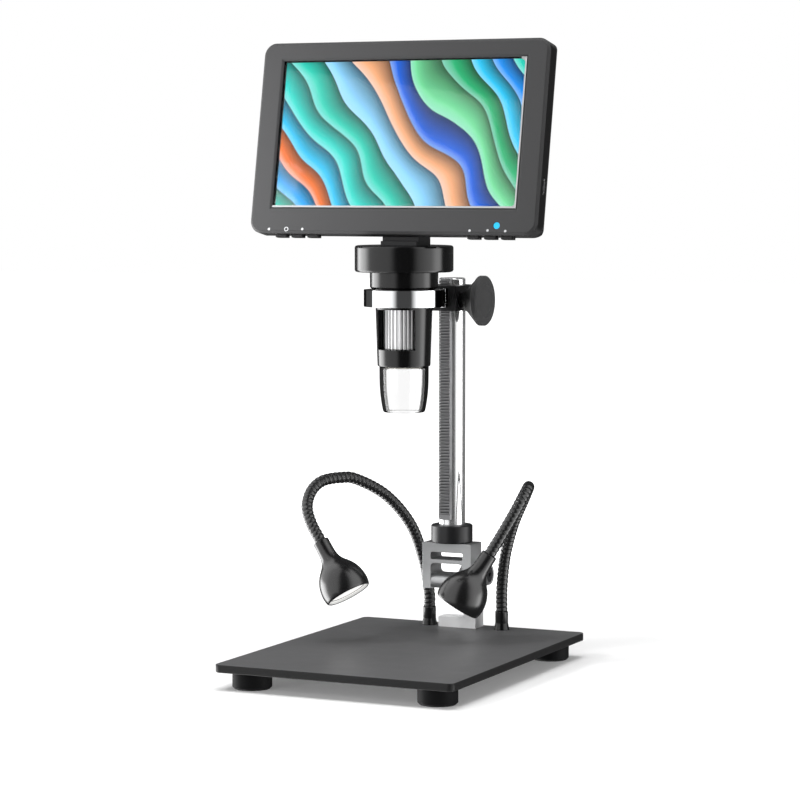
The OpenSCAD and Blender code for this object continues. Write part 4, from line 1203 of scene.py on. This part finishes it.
@dataclass(frozen=True)
class Softbox:
    """Soft rectangular light that faces a point on the stand's axis, aim above the floor.

    It hangs right of that point and in front of it, as the camera sees it, and shift further along X, Y and Z. All
    distances are in metres, and the power is in watts.
    """

    name: str
    right: float
    front: float
    shift: Point
    size: Pair
    power: float
    aim: float = 0.2

    def build(self, azimuth: float) -> None:
        """Hang the light.

        Args:
            azimuth: Direction of the camera's view, in degrees.
        """
        toward = math.radians(azimuth)
        right = Vector((math.cos(toward), math.sin(toward), 0.0))
        front = Vector((math.sin(toward), -math.cos(toward), 0.0))
        target = Vector((0.0, 0.0, self.aim))
        at = target + right * self.right + front * self.front + Vector(self.shift)
        lamp = bpy.data.lights.new(self.name, "AREA")
        lamp.shape = "RECTANGLE"
        lamp.size, lamp.size_y = self.size
        lamp.energy = self.power
        holder = bpy.data.objects.new(self.name, lamp)
        holder.location = at
        holder.rotation_euler = (target - at).to_track_quat("-Z", "Y").to_euler()
        holder.visible_glossy = False
        bpy.context.scene.collection.objects.link(holder)


@dataclass
class Studio:
    """Floor, lights, surroundings and camera.

    Distances are in metres, angles in degrees, the sensor in millimetres and focal length and image in pixels. panels
    gives the direction from the camera's view and the strength of each change; above the horizon none is stronger
    than upper_level, a limit that sets in over the heights of upper_from. The floor gives floor_glow of its light
    under the object, and all of it past the distances of floor_fade.
    """

    eye: Point = (0.7039, -1.5055, 0.29035)
    azimuth: float = 25.17
    pitch: float = 4.45
    focal_px: float = 2856.0
    image_px: float = 800.0
    sensor: float = 36.0
    near: float = 0.05
    ambient: float = 0.3
    floor_half: float = 6.0
    floor_glow: float = 0.16
    floor_fade: Pair = (0.2, 0.5)
    panel_peak: float = 8.0
    panels: Profile = (
        (-180.0, 0.08), (-142.0, 0.08), (-131.0, 7.0), (-104.0, 7.0), (-88.0, 1.3), (-34.0, 1.15), (-20.0, 0.06),
        (20.0, 0.06), (34.0, 1.1), (66.0, 2.2), (80.0, 4.2), (91.0, 4.0), (101.0, 0.12), (180.0, 0.08))
    upper_level: float = 1.7
    upper_from: Pair = (-0.03, 0.06)
    softboxes: tuple[Softbox, ...] = (
        Softbox("box_left", -0.8, 0.75, (0.0, 0.0, 0.15), (0.5, 0.8), 5.0),
        Softbox("box_right", 1.2, 0.3, (0.0, 0.0, 0.2), (0.4, 1.0), 2.0),
        Softbox("box_top", 0.0, 0.0, (0.05, -0.05, 0.95), (0.8, 0.8), 11.0),
        Softbox("box_screen", -0.24, 0.08, (0.0, 0.0, 0.0), (0.06, 0.12), 0.75, 0.31))

    def build(self) -> None:
        """Set the studio up."""
        bpy.context.scene.view_settings.view_transform = "Standard"
        self._camera()
        self._floor()
        self._surroundings()
        for softbox in self.softboxes:
            softbox.build(self.azimuth)

    def _camera(self) -> None:
        """Place the camera."""
        lens = bpy.data.cameras.new("camera")
        lens.sensor_width = self.sensor
        lens.lens = self.focal_px / self.image_px * self.sensor
        lens.clip_start = self.near
        camera = bpy.data.objects.new("camera", lens)
        camera.location = self.eye
        camera.rotation_euler = (math.radians(90.0 - self.pitch), 0.0, math.radians(self.azimuth))
        bpy.context.scene.collection.objects.link(camera)
        bpy.context.scene.camera = camera

    def _floor(self) -> None:
        """Lay the floor, pale to the eye and keeping shadows."""
        material, nodes, bsdf = start_material("floor_pale")
        light = nodes.add("LightPath")
        away = nodes.vector("LENGTH", nodes.add("TexCoord")["Object"])["Value"]
        glow = nodes.calc("MULTIPLY", self._seen(nodes, light),
                          nodes.fade(away, self.floor_fade, (self.floor_glow, 1.0)))
        nodes.feed(bsdf, {"Base Color": (0.8, 0.8, 0.8, 1.0), "Roughness": 1.0, "Specular IOR Level": 0.0,
                          "Emission Color": WHITE, "Emission Strength": glow})
        nodes.show(nodes.add("MixShader", {"Fac": light["Is Glossy Ray"], 1: bsdf.outputs[0],
                                           2: nodes.add("BsdfTransparent")[0]})[0])
        half = self.floor_half
        mesh = bpy.data.meshes.new("floor")
        mesh.from_pydata([(-half, -half, 0), (half, -half, 0), (half, half, 0), (-half, half, 0)], [], [(0, 1, 2, 3)])
        mesh.materials.append(material)
        floor = bpy.data.objects.new("floor", mesh)
        bpy.context.scene.collection.objects.link(floor)

    @staticmethod
    def _seen(nodes: Nodes, light: Outputs) -> Socket:
        """Add the mask of rays that show the plain background."""
        return nodes.calc("MAXIMUM", light["Is Camera Ray"], light["Is Transmission Ray"])

    def _surroundings(self) -> None:
        """White background, pale and dark panels for polished parts, and an even dim light for the rest."""
        world = bpy.data.worlds.new("surroundings")
        bpy.context.scene.world = world
        world.use_nodes = True
        nodes = Nodes(world.node_tree)
        light = nodes.add("LightPath")
        apart = nodes.add("SeparateXYZ", {0: nodes.add("TexCoord")["Generated"]})
        turn = nodes.calc("MULTIPLY_ADD", nodes.calc("ARCTAN2", apart["Y"], apart["X"]), 1.0 / TURN,
                          (90.0 - self.azimuth) / 360.0 + 0.5)
        stops = [((degrees + 180.0) / 360.0, (level / self.panel_peak,) * 3) for degrees, level in self.panels]
        bright = nodes.calc("MULTIPLY", nodes.ramp(nodes.calc("FRACT", turn), stops), self.panel_peak)
        level = nodes.add("Mix", {"Factor": nodes.fade(apart["Z"], self.upper_from, (0.0, 1.0)), "A": bright,
                                  "B": nodes.calc("MINIMUM", bright, self.upper_level)})["Result"]
        polished = nodes.fade(light["Is Glossy Ray"], (0.0, 1.0), (self.ambient, level))
        plain = nodes.fade(self._seen(nodes, light), (0.0, 1.0), (polished, 1.0))
        nodes.feed(world.node_tree.nodes["Background"], {"Color": WHITE, "Strength": plain})


# ---------------------------------------------------------------- building

ROOT_X, ROOT_Y, PLATE_TOP, ROOT_H = 24.2, 87.0, 15.0, 11.5
RIGHT_ROUTE = ((0, 0, ROOT_H + 0.2), (0.2, 0, 27), (3, -1, 47), (10, -5.5, 66), (20.5, -14, 83), (28, -25, 91.5),
               (28.5, -34.5, 86.5), (25.2, -41, 76.5), (19.6, -46, 64.5), (13.8, -49, 53.9))
LEFT_ROUTE = ((0, 0, ROOT_H + 0.2), (0.2, 0, 20), (3, -1.5, 39), (8, -10, 62.5), (18.5, -23, 81.5),
              (31, -39, 92.5), (38, -48, 94), (45, -58, 92.5), (48, -66.5, 87), (46.8, -74.5, 78.5),
              (41.8, -79, 69.5), (34.8, -81.6, 60.3))


def routed(route: Sequence[Point], way: int) -> list[Point]:
    """Turn a route that starts at a lamp's root into points of the whole frame.

    Args:
        route: Points in millimetres from the root on the plate.
        way: 1 for the right lamp, -1 for the left one.

    Returns:
        The points in millimetres.
    """
    return [(way * (ROOT_X + x), ROOT_Y + y, PLATE_TOP + z) for x, y, z in route]


def main() -> None:
    """Build the model and the studio."""
    logging.basicConfig(level=logging.INFO)
    Studio().build()
    assemblies = [Base(), Column(), Carriage(), Head(), Screen(),
                  Lamp(Side.LEFT, routed(LEFT_ROUTE, -1), 6, 33.0, -6.8),
                  Lamp(Side.RIGHT, routed(RIGHT_ROUTE, 1), 5, 32.2, 203.6)]
    for assembly in assemblies:
        assembly.build()
        assembly.dress()
        LOG.info("finished %s", type(assembly).__name__)


if __name__ == "__main__":
    main()
